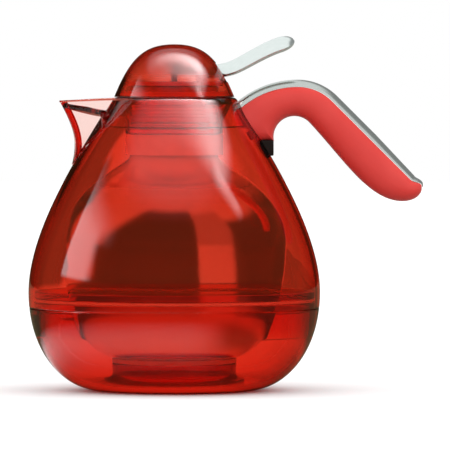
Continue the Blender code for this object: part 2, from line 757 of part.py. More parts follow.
def lever_stations():
    """Centre, half thickness and half width along the lever, from its hub to the tip of its pad."""
    wall = radius_at(LID_OUTER_LINE, PIVOT_Z)
    tip = (wall + LEVER_REACH, PIVOT_Z + LEVER_CLIMB)
    centres = bezier(
        (PIVOT_X, PIVOT_Z),
        (wall + LEVER_NECK_PULL, PIVOT_Z - LEVER_NECK_DIP),
        (tip[0] - LEVER_PAD_PULL_BACK, tip[1] - LEVER_PAD_PULL_DOWN),
        tip,
        CURVE_STEPS,
    )
    stations = []
    for step, centre in enumerate(centres):
        along = step / CURVE_STEPS
        grown = max((centre[0] - wall) / (tip[0] - wall), 0.0) ** LEVER_GROWTH
        rounding = max((along - 1.0) / LEVER_END_SHARE + 1.0, 0.0)
        end = max(math.sqrt(max(1.0 - rounding**2, 0.0)), LEVER_END_BLUNT)
        thick = (LEVER_NECK_THICK + (LEVER_PAD_THICK - LEVER_NECK_THICK) * grown) / 2 * end
        wide = (LEVER_NECK_WIDTH + (LEVER_PAD_WIDTH - LEVER_NECK_WIDTH) * grown) / 2 * end
        stations.append((centre, thick, wide))
    return stations


def add_lid_dome():
    """See-through dome with a slot that clears the lever from rest to fully pressed."""
    outline = thinned(LID_INNER_LINE, DOME_RINGS) + thinned(LID_OUTER_LINE, DOME_RINGS)[::-1]
    dome = add_piece("lid_dome", turned(outline, SHELL_SIDES), RED_ACRYLIC, LID)
    high = low = PIVOT_Z
    half = LEVER_NECK_WIDTH / 2
    for (x, z), thick, wide in lever_stations():
        if x < radius_at(LID_OUTER_LINE, z + thick):
            high = max(high, z + thick)
        sunk = PIVOT_Z - (x - PIVOT_X) * math.sin(LEVER_PRESS) + (z - thick - PIVOT_Z) * math.cos(LEVER_PRESS)
        if x < radius_at(LID_OUTER_LINE, sunk):
            low = min(low, sunk)
            half = max(half, wide)
    half += SLOT_GAP
    slot = block((PIVOT_X, -half, low - SLOT_GAP), (2 * LID_RADIUS, half, high + SLOT_GAP))
    tool(dome, "lever_slot", slot, "DIFFERENCE")


def add_stopper_body():
    """Cup that plugs the collar: valve seat below, pouring port towards the spout, flange under the dome."""
    flange_top = FLANGE_Z + FLANGE_HEIGHT
    groove_low = STOPPER_BOTTOM_Z + LIP_SEAL_RISE
    groove_high = groove_low + LIP_SEAL_HEIGHT
    groove = STOPPER_RADIUS - LIP_SEAL_DEPTH
    cup_top = PLATE_BOTTOM_Z - FIT
    outline = [
        (STOPPER_BORE, cup_top),
        (STOPPER_RADIUS, cup_top),
        (STOPPER_RADIUS, flange_top),
        (radius_at(LID_INNER_LINE, flange_top) - FIT, flange_top),
        (radius_at(LID_INNER_LINE, FLANGE_Z) - FIT, FLANGE_Z),
        (STOPPER_RADIUS, FLANGE_Z),
        (STOPPER_RADIUS, groove_high),
        (groove, groove_high),
        (groove, groove_low),
        (STOPPER_RADIUS, groove_low),
        (STOPPER_RADIUS, STOPPER_BOTTOM_Z),
        (SEAT_RADIUS, STOPPER_BOTTOM_Z),
        (SEAT_RADIUS, SEAT_Z),
        (STOPPER_BORE, SEAT_Z),
    ]
    cup = add_piece("stopper_body", turned(outline, INNER_SIDES), RED_STOPPER, LID)
    port = block(
        (-2 * STOPPER_RADIUS, -PORT_WIDTH / 2, SLEEVE_TOP_Z + PORT_SILL),
        (-STOPPER_BORE / 2, PORT_WIDTH / 2, FLANGE_Z - PORT_HEAD),
    )
    tool(cup, "pouring_port", port, "DIFFERENCE")


def add_stopper_seal():
    """Soft ring in the stopper's groove, with two lips against the sleeve."""
    low = STOPPER_BOTTOM_Z + LIP_SEAL_RISE + FIT
    high = low + LIP_SEAL_HEIGHT - 2 * FIT
    middle = (low + high) / 2
    inner = STOPPER_RADIUS - LIP_SEAL_DEPTH + FIT
    lips = SLEEVE_BORE - RUN
    outline = [
        (inner, high),
        (lips, high),
        (STOPPER_RADIUS, (high + middle) / 2),
        (lips, middle),
        (STOPPER_RADIUS, (low + middle) / 2),
        (lips, low),
        (inner, low),
    ]
    add_piece("stopper_seal", turned(outline, INNER_SIDES), CLEAR_SILICONE, LID)


def add_stopper_plate():
    """Cover of the stopper, with a guide for the valve stem and two ears for the lever's pin."""
    guide = STEM_RADIUS + RUN
    spigot = STOPPER_BORE - FIT
    edge = radius_at(LID_INNER_LINE, PLATE_TOP_Z) - FIT
    outline = [
        (guide, PLATE_TOP_Z),
        (edge, PLATE_TOP_Z),
        (edge, PLATE_BOTTOM_Z),
        (spigot, PLATE_BOTTOM_Z),
        (spigot, PLATE_BOTTOM_Z - PLATE_SPIGOT),
        (guide, PLATE_BOTTOM_Z - PLATE_SPIGOT),
    ]
    plate = add_piece("stopper_plate", turned(outline, INNER_SIDES), RED_STOPPER, LID)
    foot = PLATE_TOP_Z - EAR_SINK
    ear = [(PIVOT_X - EAR_RADIUS, foot), (PIVOT_X + EAR_RADIUS, foot)]
    ear += arc((PIVOT_X, PIVOT_Z), EAR_RADIUS, 0.0, math.pi, SMALL_SIDES // 2)
    tool(plate, "left_ear", extruded(ear, EAR_INNER_Y, EAR_OUTER_Y), "UNION")
    tool(plate, "right_ear", extruded(ear, -EAR_OUTER_Y, -EAR_INNER_Y), "UNION")
    tool(plate, "ear_bore", rod(PIVOT_X, PIVOT_Z, PIN_RADIUS + FIT, 2 * EAR_OUTER_Y), "DIFFERENCE")


def add_lever():
    """Thumb lever: a pad outside the dome, a hub on the pin and a fork under the stem's head."""
    rings = []
    stations = lever_stations()
    end = round(CURVE_STEPS * (1.0 - LEVER_END_SHARE))
    picks = list(np.linspace(0, end, LEVER_STEPS + 1).round().astype(int))
    picks += list(np.linspace(end, CURVE_STEPS, LEVER_END_STEPS + 1).round().astype(int)[1:])
    for step in picks:
        centre, thick, wide = stations[step]
        before = stations[max(step - 1, 0)][0]
        after = stations[min(step + 1, CURVE_STEPS)][0]
        along = Vector((after[0] - before[0], after[1] - before[1])).normalized()
        half_up = (-along[1] * thick, along[0] * thick)
        rings.append(rounded_ring(centre, half_up, wide, LEVER_SECTION, LEVER_SIDES))
    lever = add_piece("thumb_lever", lofted(rings), CHROME, LEVER)
    half = LEVER_NECK_WIDTH / 2
    tool(lever, "lever_hub", rod(PIVOT_X, PIVOT_Z, LEVER_HUB_RADIUS, half), "UNION")
    bar = arc((0.0, PIVOT_Z), FORK_HEIGHT / 2, math.pi / 2, 3 * math.pi / 2, SMALL_SIDES // 2)
    bar += [(PIVOT_X, PIVOT_Z - FORK_HEIGHT / 2), (PIVOT_X, PIVOT_Z + FORK_HEIGHT / 2)]
    tool(lever, "fork_bar", extruded(bar, -half, half), "UNION")
    gap = STEM_RADIUS + SIDE_GAP
    notch = block((-PIVOT_X, -gap, PIVOT_Z - FORK_HEIGHT), (FORK_CROTCH, gap, PIVOT_Z + FORK_HEIGHT))
    tool(lever, "fork_notch", notch, "DIFFERENCE")
    tool(lever, "lever_bore", rod(PIVOT_X, PIVOT_Z, PIN_RADIUS + RUN, 2 * half), "DIFFERENCE")
    add_piece("lever_pin", rod(PIVOT_X, PIVOT_Z, PIN_RADIUS, EAR_OUTER_Y), STEEL, LID)


def add_valve():
    """Plug that closes the seat from above, its seal, its stem up to the lever's fork, and the stem's nut."""
    nut_top = STOPPER_BOTTOM_Z + PLUG_NOSE_GAP - FIT
    stem = [
        (0.0, STEM_HEAD_Z + STEM_HEAD_HEIGHT),
        (STEM_HEAD_RADIUS, STEM_HEAD_Z + STEM_HEAD_HEIGHT),
        (STEM_HEAD_RADIUS, STEM_HEAD_Z),
        (STEM_RADIUS, STEM_HEAD_Z),
        (STEM_RADIUS, nut_top - NUT_HEIGHT - STEM_TAIL),
        (0.0, nut_top - NUT_HEIGHT - STEM_TAIL),
    ]
    add_piece("valve_stem", turned(stem, SMALL_SIDES), STEEL, VALVE)
    bore = STEM_RADIUS + FIT
    plug = [
        (bore, PLUG_TOP_Z),
        (PLUG_RADIUS, PLUG_TOP_Z),
        (PLUG_RADIUS, PLUG_Z),
        (PLUG_NOSE, PLUG_Z),
        (PLUG_NOSE, STOPPER_BOTTOM_Z + PLUG_NOSE_GAP),
        (bore, STOPPER_BOTTOM_Z + PLUG_NOSE_GAP),
    ]
    add_piece("valve_plug", turned(plug, INNER_SIDES), WHITE_PLASTIC, VALVE)
    seal = [
        (PLUG_NOSE + FIT, PLUG_Z - FIT),
        (PLUG_RADIUS, PLUG_Z - FIT),
        (PLUG_RADIUS, SEAT_Z + FIT),
        (PLUG_NOSE + FIT, SEAT_Z + FIT),
    ]
    add_piece("valve_seal", turned(seal, INNER_SIDES), CLEAR_SILICONE, VALVE)
    nut_low = nut_top - NUT_HEIGHT
    nut = [(0.0, nut_top), (NUT_RADIUS, nut_top), (NUT_RADIUS, nut_low), (0.0, nut_low)]
    nut = add_piece("stem_nut", turned(nut, NUT_SIDES), STEEL, VALVE)
    hole = [(0.0, SEAT_Z), (bore, SEAT_Z), (bore, nut_low - NUT_HEIGHT), (0.0, nut_low - NUT_HEIGHT)]
    tool(nut, "nut_hole", turned(hole, SMALL_SIDES), "DIFFERENCE")


def add_valve_spring():
    """Coil that presses the plug on its seat, from the plug's top to the cover."""
    wire = SPRING_WIRE / 2
    low = PLUG_TOP_Z + FIT + wire
    high = SPRING_TOP_Z - wire
    count = SPRING_TURNS * POINTS_PER_CURL
    points = []
    for step in range(count + 1):
        angle = 2.0 * math.pi * step / POINTS_PER_CURL
        rise = low + (high - low) * step / count
        points.append(Vector((SPRING_RADIUS * math.cos(angle), SPRING_RADIUS * math.sin(angle), rise)))
    apart = min(
        (point - other).length
        for place, point in enumerate(points)
        for other in points[place + POINTS_PER_CURL // 2 :]
    )
    print(f"valve_spring: least gap between curls {(apart - SPRING_WIRE) / MM:.2f} mm")
    curve = bpy.data.curves.new("valve_spring", "CURVE")
    curve.dimensions = "3D"
    curve.bevel_depth = wire
    curve.bevel_resolution = 1
    curve.use_fill_caps = True
    spline = curve.splines.new("POLY")
    spline.points.add(count)
    origin = world_point(VALVE)
    for target, point in zip(spline.points, points):
        target.co = (*(point - origin), 1.0)
    curve.materials.append(STEEL)
    spring = bpy.data.objects.new("valve_spring", curve)
    spring.parent = VALVE
    bpy.context.scene.collection.objects.link(spring)


def grip_lines():
    """Top and underside of the handle in its plane of symmetry, as matched points from root to tip."""
    arch = (body_radius(ROOT_BOTTOM_Z) + ROOT_STANDOFF + ARCH_RADIUS, RIM_Z + CREST_RISE - CREST_DEPTH - ARCH_RADIUS)
    crest = (arch[0] + CREST_OFFSET, RIM_Z + CREST_RISE)
    quarter = math.pi / 2
    down = Vector((math.cos(GRIP_SLOPE), -math.sin(GRIP_SLOPE)))

    root_centre = (crest[0], crest[1] - ROOT_ARC_RADIUS)
    top_root = arc(root_centre, ROOT_ARC_RADIUS, quarter + ROOT_ANGLE, quarter, ROOT_STEPS)
    bend_centre = (crest[0], crest[1] - BEND_RADIUS)
    top_bend = arc(bend_centre, BEND_RADIUS, quarter, quarter - GRIP_SLOPE, BEND_STEPS)
    bend_end = Vector(top_bend[-1])
    run_end = bend_end + down * GRIP_RUN
    tip = run_end + Vector((TOE_REACH, -TOE_DROP))
    top_run = line(bend_end, run_end, RUN_STEPS)
    top_toe = bezier(run_end, run_end + down * TOE_PULL, tip + Vector((0.0, TOE_PULL)), tip, TOE_STEPS)

    low_root = arc(arch, ARCH_RADIUS, math.pi + ARCH_FOOT_ANGLE, quarter, ROOT_STEPS)
    low_bend = arc(arch, ARCH_RADIUS, quarter, quarter - GRIP_SLOPE, BEND_STEPS)
    low_end = Vector(low_bend[-1])
    fall = Vector((math.cos(UNDERSIDE_SLOPE), -math.sin(UNDERSIDE_SLOPE)))
    heel = tip - Vector((HEEL_BACK, HEEL_DROP))
    low_pull = low_end + fall * UNDERSIDE_PULL
    low_run = bezier(low_end, low_pull, heel - Vector((HEEL_PULL, 0.0)), heel, RUN_STEPS)
    low_tip = tip - Vector((0.0, TOE_END))
    toe_pull = low_tip - Vector((0.0, TOE_PULL))
    low_toe = bezier(heel, heel + Vector((TOE_ROUND, 0.0)), toe_pull, low_tip, TOE_STEPS)

    back = Vector((math.cos(ROOT_ANGLE), math.sin(ROOT_ANGLE))) * ROOT_DEPTH
    top_start = Vector(top_root[0]) - back
    low_start = (low_root[0][0] - 2 * ROOT_DEPTH + ROOT_STANDOFF, low_root[0][1])
    top = [tuple(top_start)] + top_root + top_bend[1:] + top_run[1:] + top_toe[1:]
    low = [low_start] + low_root + low_bend[1:] + low_run[1:] + low_toe[1:]
    return top, low


def toe_share(step, count):
    """1 along the handle, falling round its toe to the share that its tip keeps."""
    rounding = max((step - (count - 1 - TOE_STEPS)) / TOE_STEPS, 0.0)
    return max(math.sqrt(1.0 - rounding**2), TOE_TIP_SHARE)


def body_envelope(gap):
    """Solid of the body, and of the way that the lid lifts out, with a gap all round."""
    low = ROOT_BOTTOM_Z - 2 * PAD_HEIGHT
    outline = [(0.0, low)] + [(body_radius(z) + gap, z) for z in np.linspace(low, RIM_Z, ENVELOPE_RINGS)]
    outline += [(RIM_RADIUS + LIFT_GAP, RIM_Z), (RIM_RADIUS + LIFT_GAP, LID_TOP_Z), (0.0, LID_TOP_Z)]
    return turned(outline, SHELL_SIDES)


def screw_place(side):
    """Frame of a handle screw: its Z axis leaves the shell square to the wall, from the inner face."""
    slope = body_slope(SCREW_Z)
    outward = Vector((1.0, 0.0, -slope)).normalized()
    lean = outward.to_track_quat("Z", "Y").to_matrix().to_4x4()
    start = Matrix.Translation((shell_bore(SCREW_Z), 0.0, SCREW_Z))
    turn = Matrix.Rotation(side * math.asin(SCREW_SPREAD / 2 / body_radius(SCREW_Z)), 4, "Z")
    return turn @ start @ lean


def screw_shape(sides, gap):
    """Heads and shanks of the handle screws on these sides, or with a gap the holes that they need."""
    outline = [
        (0.0, -SCREW_HEAD_HEIGHT - FIT),
        (SCREW_HEAD_RADIUS, -SCREW_HEAD_HEIGHT - FIT),
        (SCREW_HEAD_RADIUS, -FIT),
        (SCREW_RADIUS, -FIT),
    ]
    if gap:
        outline = [(0.0, -SHELL_WALL), (SCREW_RADIUS + gap, -SHELL_WALL)]
    end = SHELL_WALL + SCREW_BITE + gap
    outline += [(SCREW_RADIUS + gap, end), (0.0, end)]
    shape = bmesh.new()
    for side in sides:
        screw = turned(outline, SMALL_SIDES)
        screw.transform(screw_place(side))
        mesh = bpy.data.meshes.new("screw")
        screw.to_mesh(mesh)
        screw.free()
        shape.from_mesh(mesh)
    return shape


def add_handle(shell):
    """Handle with its metal strip, the soft pad under its root and the two screws through the shell."""
    top, low = grip_lines()
    count = len(top)
    rings = []
    for step in range(count):
        middle = ((top[step][0] + low[step][0]) / 2, (top[step][1] + low[step][1]) / 2)
        half_up = (top[step][0] - middle[0], top[step][1] - middle[1])
        wide = GRIP_WIDTH / 2 * toe_share(step, count)
        rings.append(rounded_ring(middle, half_up, wide, GRIP_SECTION, GRIP_SIDES, GRIP_FLAT))
    grip = add_piece("handle_grip", lofted(rings), RED_PLASTIC, CARAFE)
    envelope = tool(grip, "body_envelope", body_envelope(FIT), "DIFFERENCE")

    path = top[1:]
    rings = []
    for step, point in enumerate(path):
        before = path[max(step - 1, 0)]
        after = path[min(step + 1, len(path) - 1)]
        along = Vector((after[0] - before[0], after[1] - before[1])).normalized()
        normal = Vector((-along[1], along[0]))
        share = toe_share(step, len(path))
        thick = (TRIM_THICK - FIT) * share
        wide = TRIM_WIDTH / 2 * share
        ring = []
        for angle in np.linspace(0.0, math.pi, TRIM_SIDES + 1):
            rise = Vector(point) + normal * (FIT + thick * math.sin(angle))
            ring.append((rise[0], wide * math.cos(angle), rise[1]))
        rings.append(ring)
    add_piece("handle_trim", lofted(rings), CHROME, CARAFE)

    inner_face = body_radius(ROOT_BOTTOM_Z) + ROOT_STANDOFF
    pad_top = low[1][1] - FIT
    pad = block((0.0, -PAD_WIDTH / 2, pad_top - PAD_HEIGHT), (inner_face, PAD_WIDTH / 2, pad_top))
    pad = add_piece("handle_pad", pad, BLACK_RUBBER, CARAFE)
    step = pad.modifiers.new("body_envelope", "BOOLEAN")
    step.operation = "DIFFERENCE"
    step.object = envelope

    tool(shell, "shell_screw_holes", screw_shape((LEFT, RIGHT), FIT), "DIFFERENCE")
    tool(grip, "grip_screw_holes", screw_shape((LEFT, RIGHT), FIT), "DIFFERENCE")
    add_piece("handle_screw_left", screw_shape((LEFT,), 0.0), STEEL, CARAFE)
    add_piece("handle_screw_right", screw_shape((RIGHT,), 0.0), STEEL, CARAFE)


SHELL = add_upper_shell()
add_base_bowl()
add_joint_seal()
add_liner_walls()
add_liner_spacers()
add_cradle()
add_neck_seal()
add_neck_collar()
add_lid_dome()
add_stopper_body()
add_stopper_seal()
add_stopper_plate()
add_lever()
add_valve()
add_valve_spring()
add_handle(SHELL)
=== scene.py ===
"""Looks of the thermal carafe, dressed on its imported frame. Sizes are in millimetres, angles in degrees."""

import math

import bpy
import numpy as np
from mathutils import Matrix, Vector


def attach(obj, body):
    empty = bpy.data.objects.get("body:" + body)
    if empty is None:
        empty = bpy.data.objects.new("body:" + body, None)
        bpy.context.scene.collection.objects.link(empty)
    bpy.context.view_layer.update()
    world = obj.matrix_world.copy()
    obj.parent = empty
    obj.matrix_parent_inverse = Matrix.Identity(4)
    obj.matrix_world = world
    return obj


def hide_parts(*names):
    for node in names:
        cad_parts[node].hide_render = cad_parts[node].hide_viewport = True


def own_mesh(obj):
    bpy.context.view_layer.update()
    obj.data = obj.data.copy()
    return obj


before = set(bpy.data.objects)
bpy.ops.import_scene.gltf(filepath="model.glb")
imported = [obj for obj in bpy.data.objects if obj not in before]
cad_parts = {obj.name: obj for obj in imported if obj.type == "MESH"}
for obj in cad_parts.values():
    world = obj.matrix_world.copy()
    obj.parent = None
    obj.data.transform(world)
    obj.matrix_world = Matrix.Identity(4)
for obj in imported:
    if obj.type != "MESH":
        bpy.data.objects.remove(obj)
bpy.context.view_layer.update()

# Base bowl: the bottom of the body, injection-moulded in see-through red acrylic. It stands on a flat foot, and a
# grooved spigot on its upper edge plugs into the upper shell, which is why two seam lines show.
MM = 0.001
FIT = 0.3
ROUND_SIDES = 160
SMOOTH_ANGLE = 30.0

BELLY_RADIUS = 96.3
BELLY_Z = 64.9
BELLY_PULL_UP = 42.3
BELLY_PULL_DOWN = 39.8
FOOT_RADIUS = 48.8
FOOT_PULL = 24.4
RIM_RADIUS = 40.6
RIM_Z = 193.2
RIM_LEAN = 30.7
SHOULDER_PULL = 37.6
SHELL_WALL = 3.0
SEAM_Z = 54.6
SPIGOT_HEIGHT = 11.0
SPIGOT_WALL = 2.6
GROOVE_RISE = 4.0
GROOVE_HEIGHT = 2.6
GROOVE_DEPTH = 1.4
BASE_WALL = 3.4
BOWL_EDGE = 0.35
BOWL_STEP = 1.0
SHOULDER_STEPS = 120
BOWL_STEPS = 60
SLOPE_STEP = 1.0
MERGE_DISTANCE = 0.001


def bezier(begin, begin_pull, end_pull, end, count):
    """Points of a cubic curve in a plane, both ends included."""
    step = np.linspace(0.0, 1.0, count + 1)[:, None]
    rest = 1.0 - step
    points = rest**3 * np.array(begin) + 3 * rest**2 * step * np.array(begin_pull)
    points = points + 3 * rest * step**2 * np.array(end_pull) + step**3 * np.array(end)
    return [tuple(point) for point in points]


def radius_at(outline, z):
    """Radius of a turned outline, given from top to bottom, at a height."""
    curve = np.array(outline)[::-1]
    return float(np.interp(z, curve[:, 1], curve[:, 0]))


lean = math.radians(RIM_LEAN)
shoulder_line = bezier(
    (RIM_RADIUS, RIM_Z),
    (RIM_RADIUS + SHOULDER_PULL * math.sin(lean), RIM_Z - SHOULDER_PULL * math.cos(lean)),
    (BELLY_RADIUS, BELLY_Z + BELLY_PULL_UP),
    (BELLY_RADIUS, BELLY_Z),
    SHOULDER_STEPS,
)
bowl_line = bezier(
    (BELLY_RADIUS, BELLY_Z),
    (BELLY_RADIUS, BELLY_Z - BELLY_PULL_DOWN),
    (FOOT_RADIUS + FOOT_PULL, 0.0),
    (FOOT_RADIUS, 0.0),
    BOWL_STEPS,
)
body_line = shoulder_line + bowl_line[1:]


def body_radius(z):
    return radius_at(body_line, z)


def body_slope(z):
    """Change of the body's radius with height."""
    middle = min(z, RIM_Z - SLOPE_STEP)
    return (body_radius(middle + SLOPE_STEP) - body_radius(middle - SLOPE_STEP)) / (2 * SLOPE_STEP)


def shell_bore(z):
    """Inner radius of the upper shell, whose wall is measured square to its surface."""
    return body_radius(z) - SHELL_WALL * math.hypot(1.0, body_slope(z))


def pick(piece):
    """Makes one piece the only one that operators act on."""
    bpy.ops.object.select_all(action="DESELECT")
    piece.select_set(True)
    bpy.context.view_layer.objects.active = piece


def start(name, add_primitive, **settings):
    """Adds the primitive that a piece is shaped from, with nothing else selected."""
    bpy.ops.object.select_all(action="DESELECT")
    add_primitive(**settings)
    piece = bpy.context.object
    piece.name = piece.data.name = name
    return piece


def edit(piece):
    """Opens one piece alone in edit mode with all of it selected."""
    pick(piece)
    bpy.ops.object.mode_set(mode="EDIT")
    bpy.ops.mesh.select_all(action="SELECT")


def close():
    """Merges doubles, turns the faces outwards, leaves edit mode and shades all but the sharp edges smooth."""
    bpy.ops.mesh.select_all(action="SELECT")
    bpy.ops.mesh.remove_doubles(threshold=MERGE_DISTANCE * MM)
    bpy.ops.mesh.normals_make_consistent(inside=False)
    bpy.ops.object.mode_set(mode="OBJECT")
    bpy.ops.object.shade_smooth_by_angle(angle=math.radians(SMOOTH_ANGLE))


def turned(name, outline, sides=ROUND_SIDES):
    """Draws half a section corner by corner and spins it round the carafe's axis."""
    piece = start(name, bpy.ops.mesh.primitive_plane_add, size=MM)
    edit(piece)
    bpy.ops.mesh.merge(type="CENTER")
    path = list(outline)
    if path[0][0] > 0.0:
        path.append(path[0])
    bpy.ops.transform.translate(value=(path[0][0] * MM, 0.0, path[0][1] * MM))
    for here, there in zip(path, path[1:]):
        step = ((there[0] - here[0]) * MM, 0.0, (there[1] - here[1]) * MM)
        bpy.ops.mesh.extrude_vertices_move(TRANSFORM_OT_translate={"value": step})
    bpy.ops.mesh.select_all(action="SELECT")
    bpy.ops.mesh.spin(steps=sides, angle=2.0 * math.pi, center=(0.0, 0.0, 0.0), axis=(0.0, 0.0, 1.0))
    close()
    return piece


def worked(piece, kind, smooth_angle=SMOOTH_ANGLE, **settings):
    """Runs a modifier on a piece for good. With an angle, all but the sharp edges are then shaded smooth."""
    pick(piece)
    step = piece.modifiers.new(kind.lower(), kind)
    for name, value in settings.items():
        setattr(step, name, value)
    bpy.ops.object.modifier_apply(modifier=step.name)
    if smooth_angle:
        bpy.ops.object.shade_smooth_by_angle(angle=math.radians(smooth_angle))
    return piece


def bevelled(piece, width, segments=3, angle=35.0):
    """Rounds the sharp edges of a piece."""
    limit = math.radians(angle)
    return worked(piece, "BEVEL", width=width * MM, segments=segments, limit_method="ANGLE", angle_limit=limit)


def linear(hex_colour):
    """An sRGB hex colour as the linear colour that a shader takes."""
    parts = [int(hex_colour[place : place + 2], 16) / 255.0 for place in (1, 3, 5)]
    return tuple(p / 12.92 if p <= 0.04045 else ((p + 0.055) / 1.055) ** 2.4 for p in parts) + (1.0,)


def add_node(tree, kind, inputs=None, **settings):
    """Adds a shader node and gives its first live output. An input gets a value, or a socket that feeds it."""
    made = tree.nodes.new("ShaderNode" + kind)
    for name, value in settings.items():
        setattr(made, name, value)
    for socket, value in (inputs or {}).items():
        if isinstance(value, bpy.types.NodeSocket):
            tree.links.new(value, made.inputs[socket])
        else:
            made.inputs[socket].default_value = value
    return next((output for output in made.outputs if output.enabled), None)


def new_finish(name):
    """An empty material and the place on the piece that its patterns are drawn at."""
    finish = bpy.data.materials.new(name)
    finish.use_nodes = True
    finish.node_tree.nodes.clear()
    place = add_node(finish.node_tree, "TexCoord").node.outputs["Object"]
    return finish, finish.node_tree, place


def mottled(tree, place, pale, deep, rough, spot, detail, relief=None, others=None, **outputs):
    """Ends a material whose colour drifts with a noise, its spots given in millimetres. A roughness that is a range
    drifts too, and relief is the strength and the depth in millimetres of bumps that follow the spots."""
    noise = add_node(tree, "TexNoise", {"Vector": place, "Scale": 1000.0 / spot, "Detail": detail})
    colours = [linear(colour) if isinstance(colour, str) else colour for colour in (pale, deep)]
    colour = add_node(tree, "Mix", {0: noise, 6: colours[0], 7: colours[1]}, data_type="RGBA")
    if isinstance(rough, tuple):
        rough = add_node(tree, "MapRange", {"Value": noise, "To Min": rough[0], "To Max": rough[1]})
    inputs = {"Base Color": colour, "Roughness": rough, **(others or {})}
    if relief:
        bump = {"Height": noise, "Strength": relief[0], "Distance": relief[1] * MM}
        inputs["Normal"] = add_node(tree, "Bump", bump)
    shader = add_node(tree, "BsdfPrincipled", inputs)
    add_node(tree, "OutputMaterial", {"Surface": shader, **outputs})


def dress(piece, finish, body, slot, *nodes):
    """Gives a piece its finish, the body that it moves with and the CAD nodes that it stands for."""
    piece.data.materials.clear()
    piece.data.materials.append(finish)
    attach(piece, body)
    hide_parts(*nodes)


# Moulded red acrylic: clear resin dyed through, so thick or slanted walls look darker. The tool's polish leaves a
# glass-like gloss with a slight waviness, and faces marked as frosted stay matt. The copy with less dye is painted
# light and the copy with more dye is painted shade. The film copy has little dye and bends light hardly at all.
FROST_ROUGHNESS = 0.4
acrylics = []
for finish_name, dye_strength, bending in (
    ("red_acrylic_moulded", 610.0, 1.49),
    ("red_acrylic_lit", 170.0, 1.49),
    ("red_acrylic_shaded", 1500.0, 1.49),
    ("red_acrylic_film", 380.0, 1.05),
):
    finish, tree, place = new_finish(finish_name)
    frost = add_node(tree, "Attribute", attribute_name="frost").node.outputs["Fac"]
    gloss = add_node(tree, "Math", {0: frost, 1: FROST_ROUGHNESS}, operation="MULTIPLY")
    clear = {"IOR": bending, "Transmission Weight": 1.0}
    dye = add_node(tree, "VolumeAbsorption", {"Color": linear("#F77F20"), "Density": dye_strength})
    mottled(tree, place, "#FFFFFF", "#FFF4F2", gloss, 22.0, 1.0, (0.05, 1.0), clear, Volume=dye)
    acrylics.append(finish)
# Painted light and shade: the lit copy goes on the collar, and the shaded copy goes on the cradle and the beak's beads.
red_acrylic, lit_acrylic, shaded_acrylic, acrylic_film = acrylics

spigot = shell_bore(SEAM_Z) - FIT
spigot_bore = spigot - SPIGOT_WALL
groove_low = SEAM_Z + GROOVE_RISE
groove_high = groove_low + GROOVE_HEIGHT
outer = [point for point in bowl_line if point[1] < SEAM_Z - BASE_WALL]
curve = np.array(outer)
along = np.gradient(curve, axis=0)
along /= np.linalg.norm(along, axis=1)[:, None]
inset = curve + BASE_WALL * np.column_stack((along[:, 1], -along[:, 0]))
inner = [tuple(point) for point in inset if point[0] < spigot_bore - BOWL_STEP]
outline = [(0.0, 0.0)] + outer[::-1]
outline += [
    (body_radius(SEAM_Z - FIT), SEAM_Z - FIT),
    (spigot, SEAM_Z - FIT),
    (spigot, groove_low),
    (spigot - GROOVE_DEPTH, groove_low),
    (spigot - GROOVE_DEPTH, groove_high),
    (spigot, groove_high),
    (spigot, SEAM_Z + SPIGOT_HEIGHT),
    (spigot_bore, SEAM_Z + SPIGOT_HEIGHT),
    (spigot_bore, SEAM_Z - FIT),
]
outline += inner + [(0.0, inner[-1][1])]
bowl = bevelled(turned("bowl_moulding", outline), BOWL_EDGE, 2)
dress(bowl, red_acrylic, "body", "red_acrylic", "base_bowl")

# Joint seal: a soft ring that keeps water out of the seam between bowl and shell. It is moulded in clear silicone and
# pressed into the spigot's groove before the shell goes on.
SEAL_EDGE = 0.4
SEAL_RECESS = 0.05
seal_low = groove_low + FIT
seal_high = groove_high - FIT
seal_in = spigot - GROOVE_DEPTH + FIT
seal_out = spigot - SEAL_RECESS
outline = [(seal_out, seal_high), (seal_out, seal_low), (seal_in, seal_low), (seal_in, seal_high)]

# Clear moulded silicone: milky and half matt, with a soft bloom and a faint dust-like grain.
clear_silicone, tree, place = new_finish("clear_silicone_moulded")
mottled(tree, place, "#EFE4E0", "#D9CDC9", (0.38, 0.55), spot=6.0, detail=4.0, others={"IOR": 1.41})
dress(bevelled(turned("joint_ring", outline), SEAL_EDGE), clear_silicone, "body", "clear_silicone", "joint_seal")

# Liner cradle: a round pedestal with a flared foot, moulded in the same red acrylic and bonded to the bowl's floor.
# It carries the glass bottle. It gets the copy of the acrylic with more dye, which is painted shade.
CRADLE_RADIUS = 41.0
CRADLE_WALL = 3.5
CRADLE_HEIGHT = 14.0
CRADLE_FOOT_HEIGHT = 2.5
CRADLE_FOOT_INSET = 2.0
CRADLE_EDGE = 0.6
FLARE_TOP = 4.5
FLARE_FALL = 3.0
FLARE_PULL = 3.0
FLARE_STEPS = 10
cradle_low = BASE_WALL + FIT
cradle_top = cradle_low + CRADLE_HEIGHT
cradle_bore = CRADLE_RADIUS - CRADLE_WALL
foot_radius = FOOT_RADIUS - CRADLE_FOOT_INSET
foot_top = cradle_low + CRADLE_FOOT_HEIGHT
flare = bezier(
    (CRADLE_RADIUS, foot_top + FLARE_TOP),
    (CRADLE_RADIUS, foot_top + FLARE_TOP - FLARE_FALL),
    (foot_radius - FLARE_PULL, foot_top),
    (foot_radius, foot_top),
    FLARE_STEPS,
)
outline = [(CRADLE_RADIUS, cradle_top)] + flare
outline += [(foot_radius, cradle_low), (cradle_bore, cradle_low), (cradle_bore, cradle_top)]
cradle = bevelled(turned("cradle_pedestal", outline), CRADLE_EDGE)
dress(cradle, shaded_acrylic, "body", "red_acrylic", "liner_cradle")

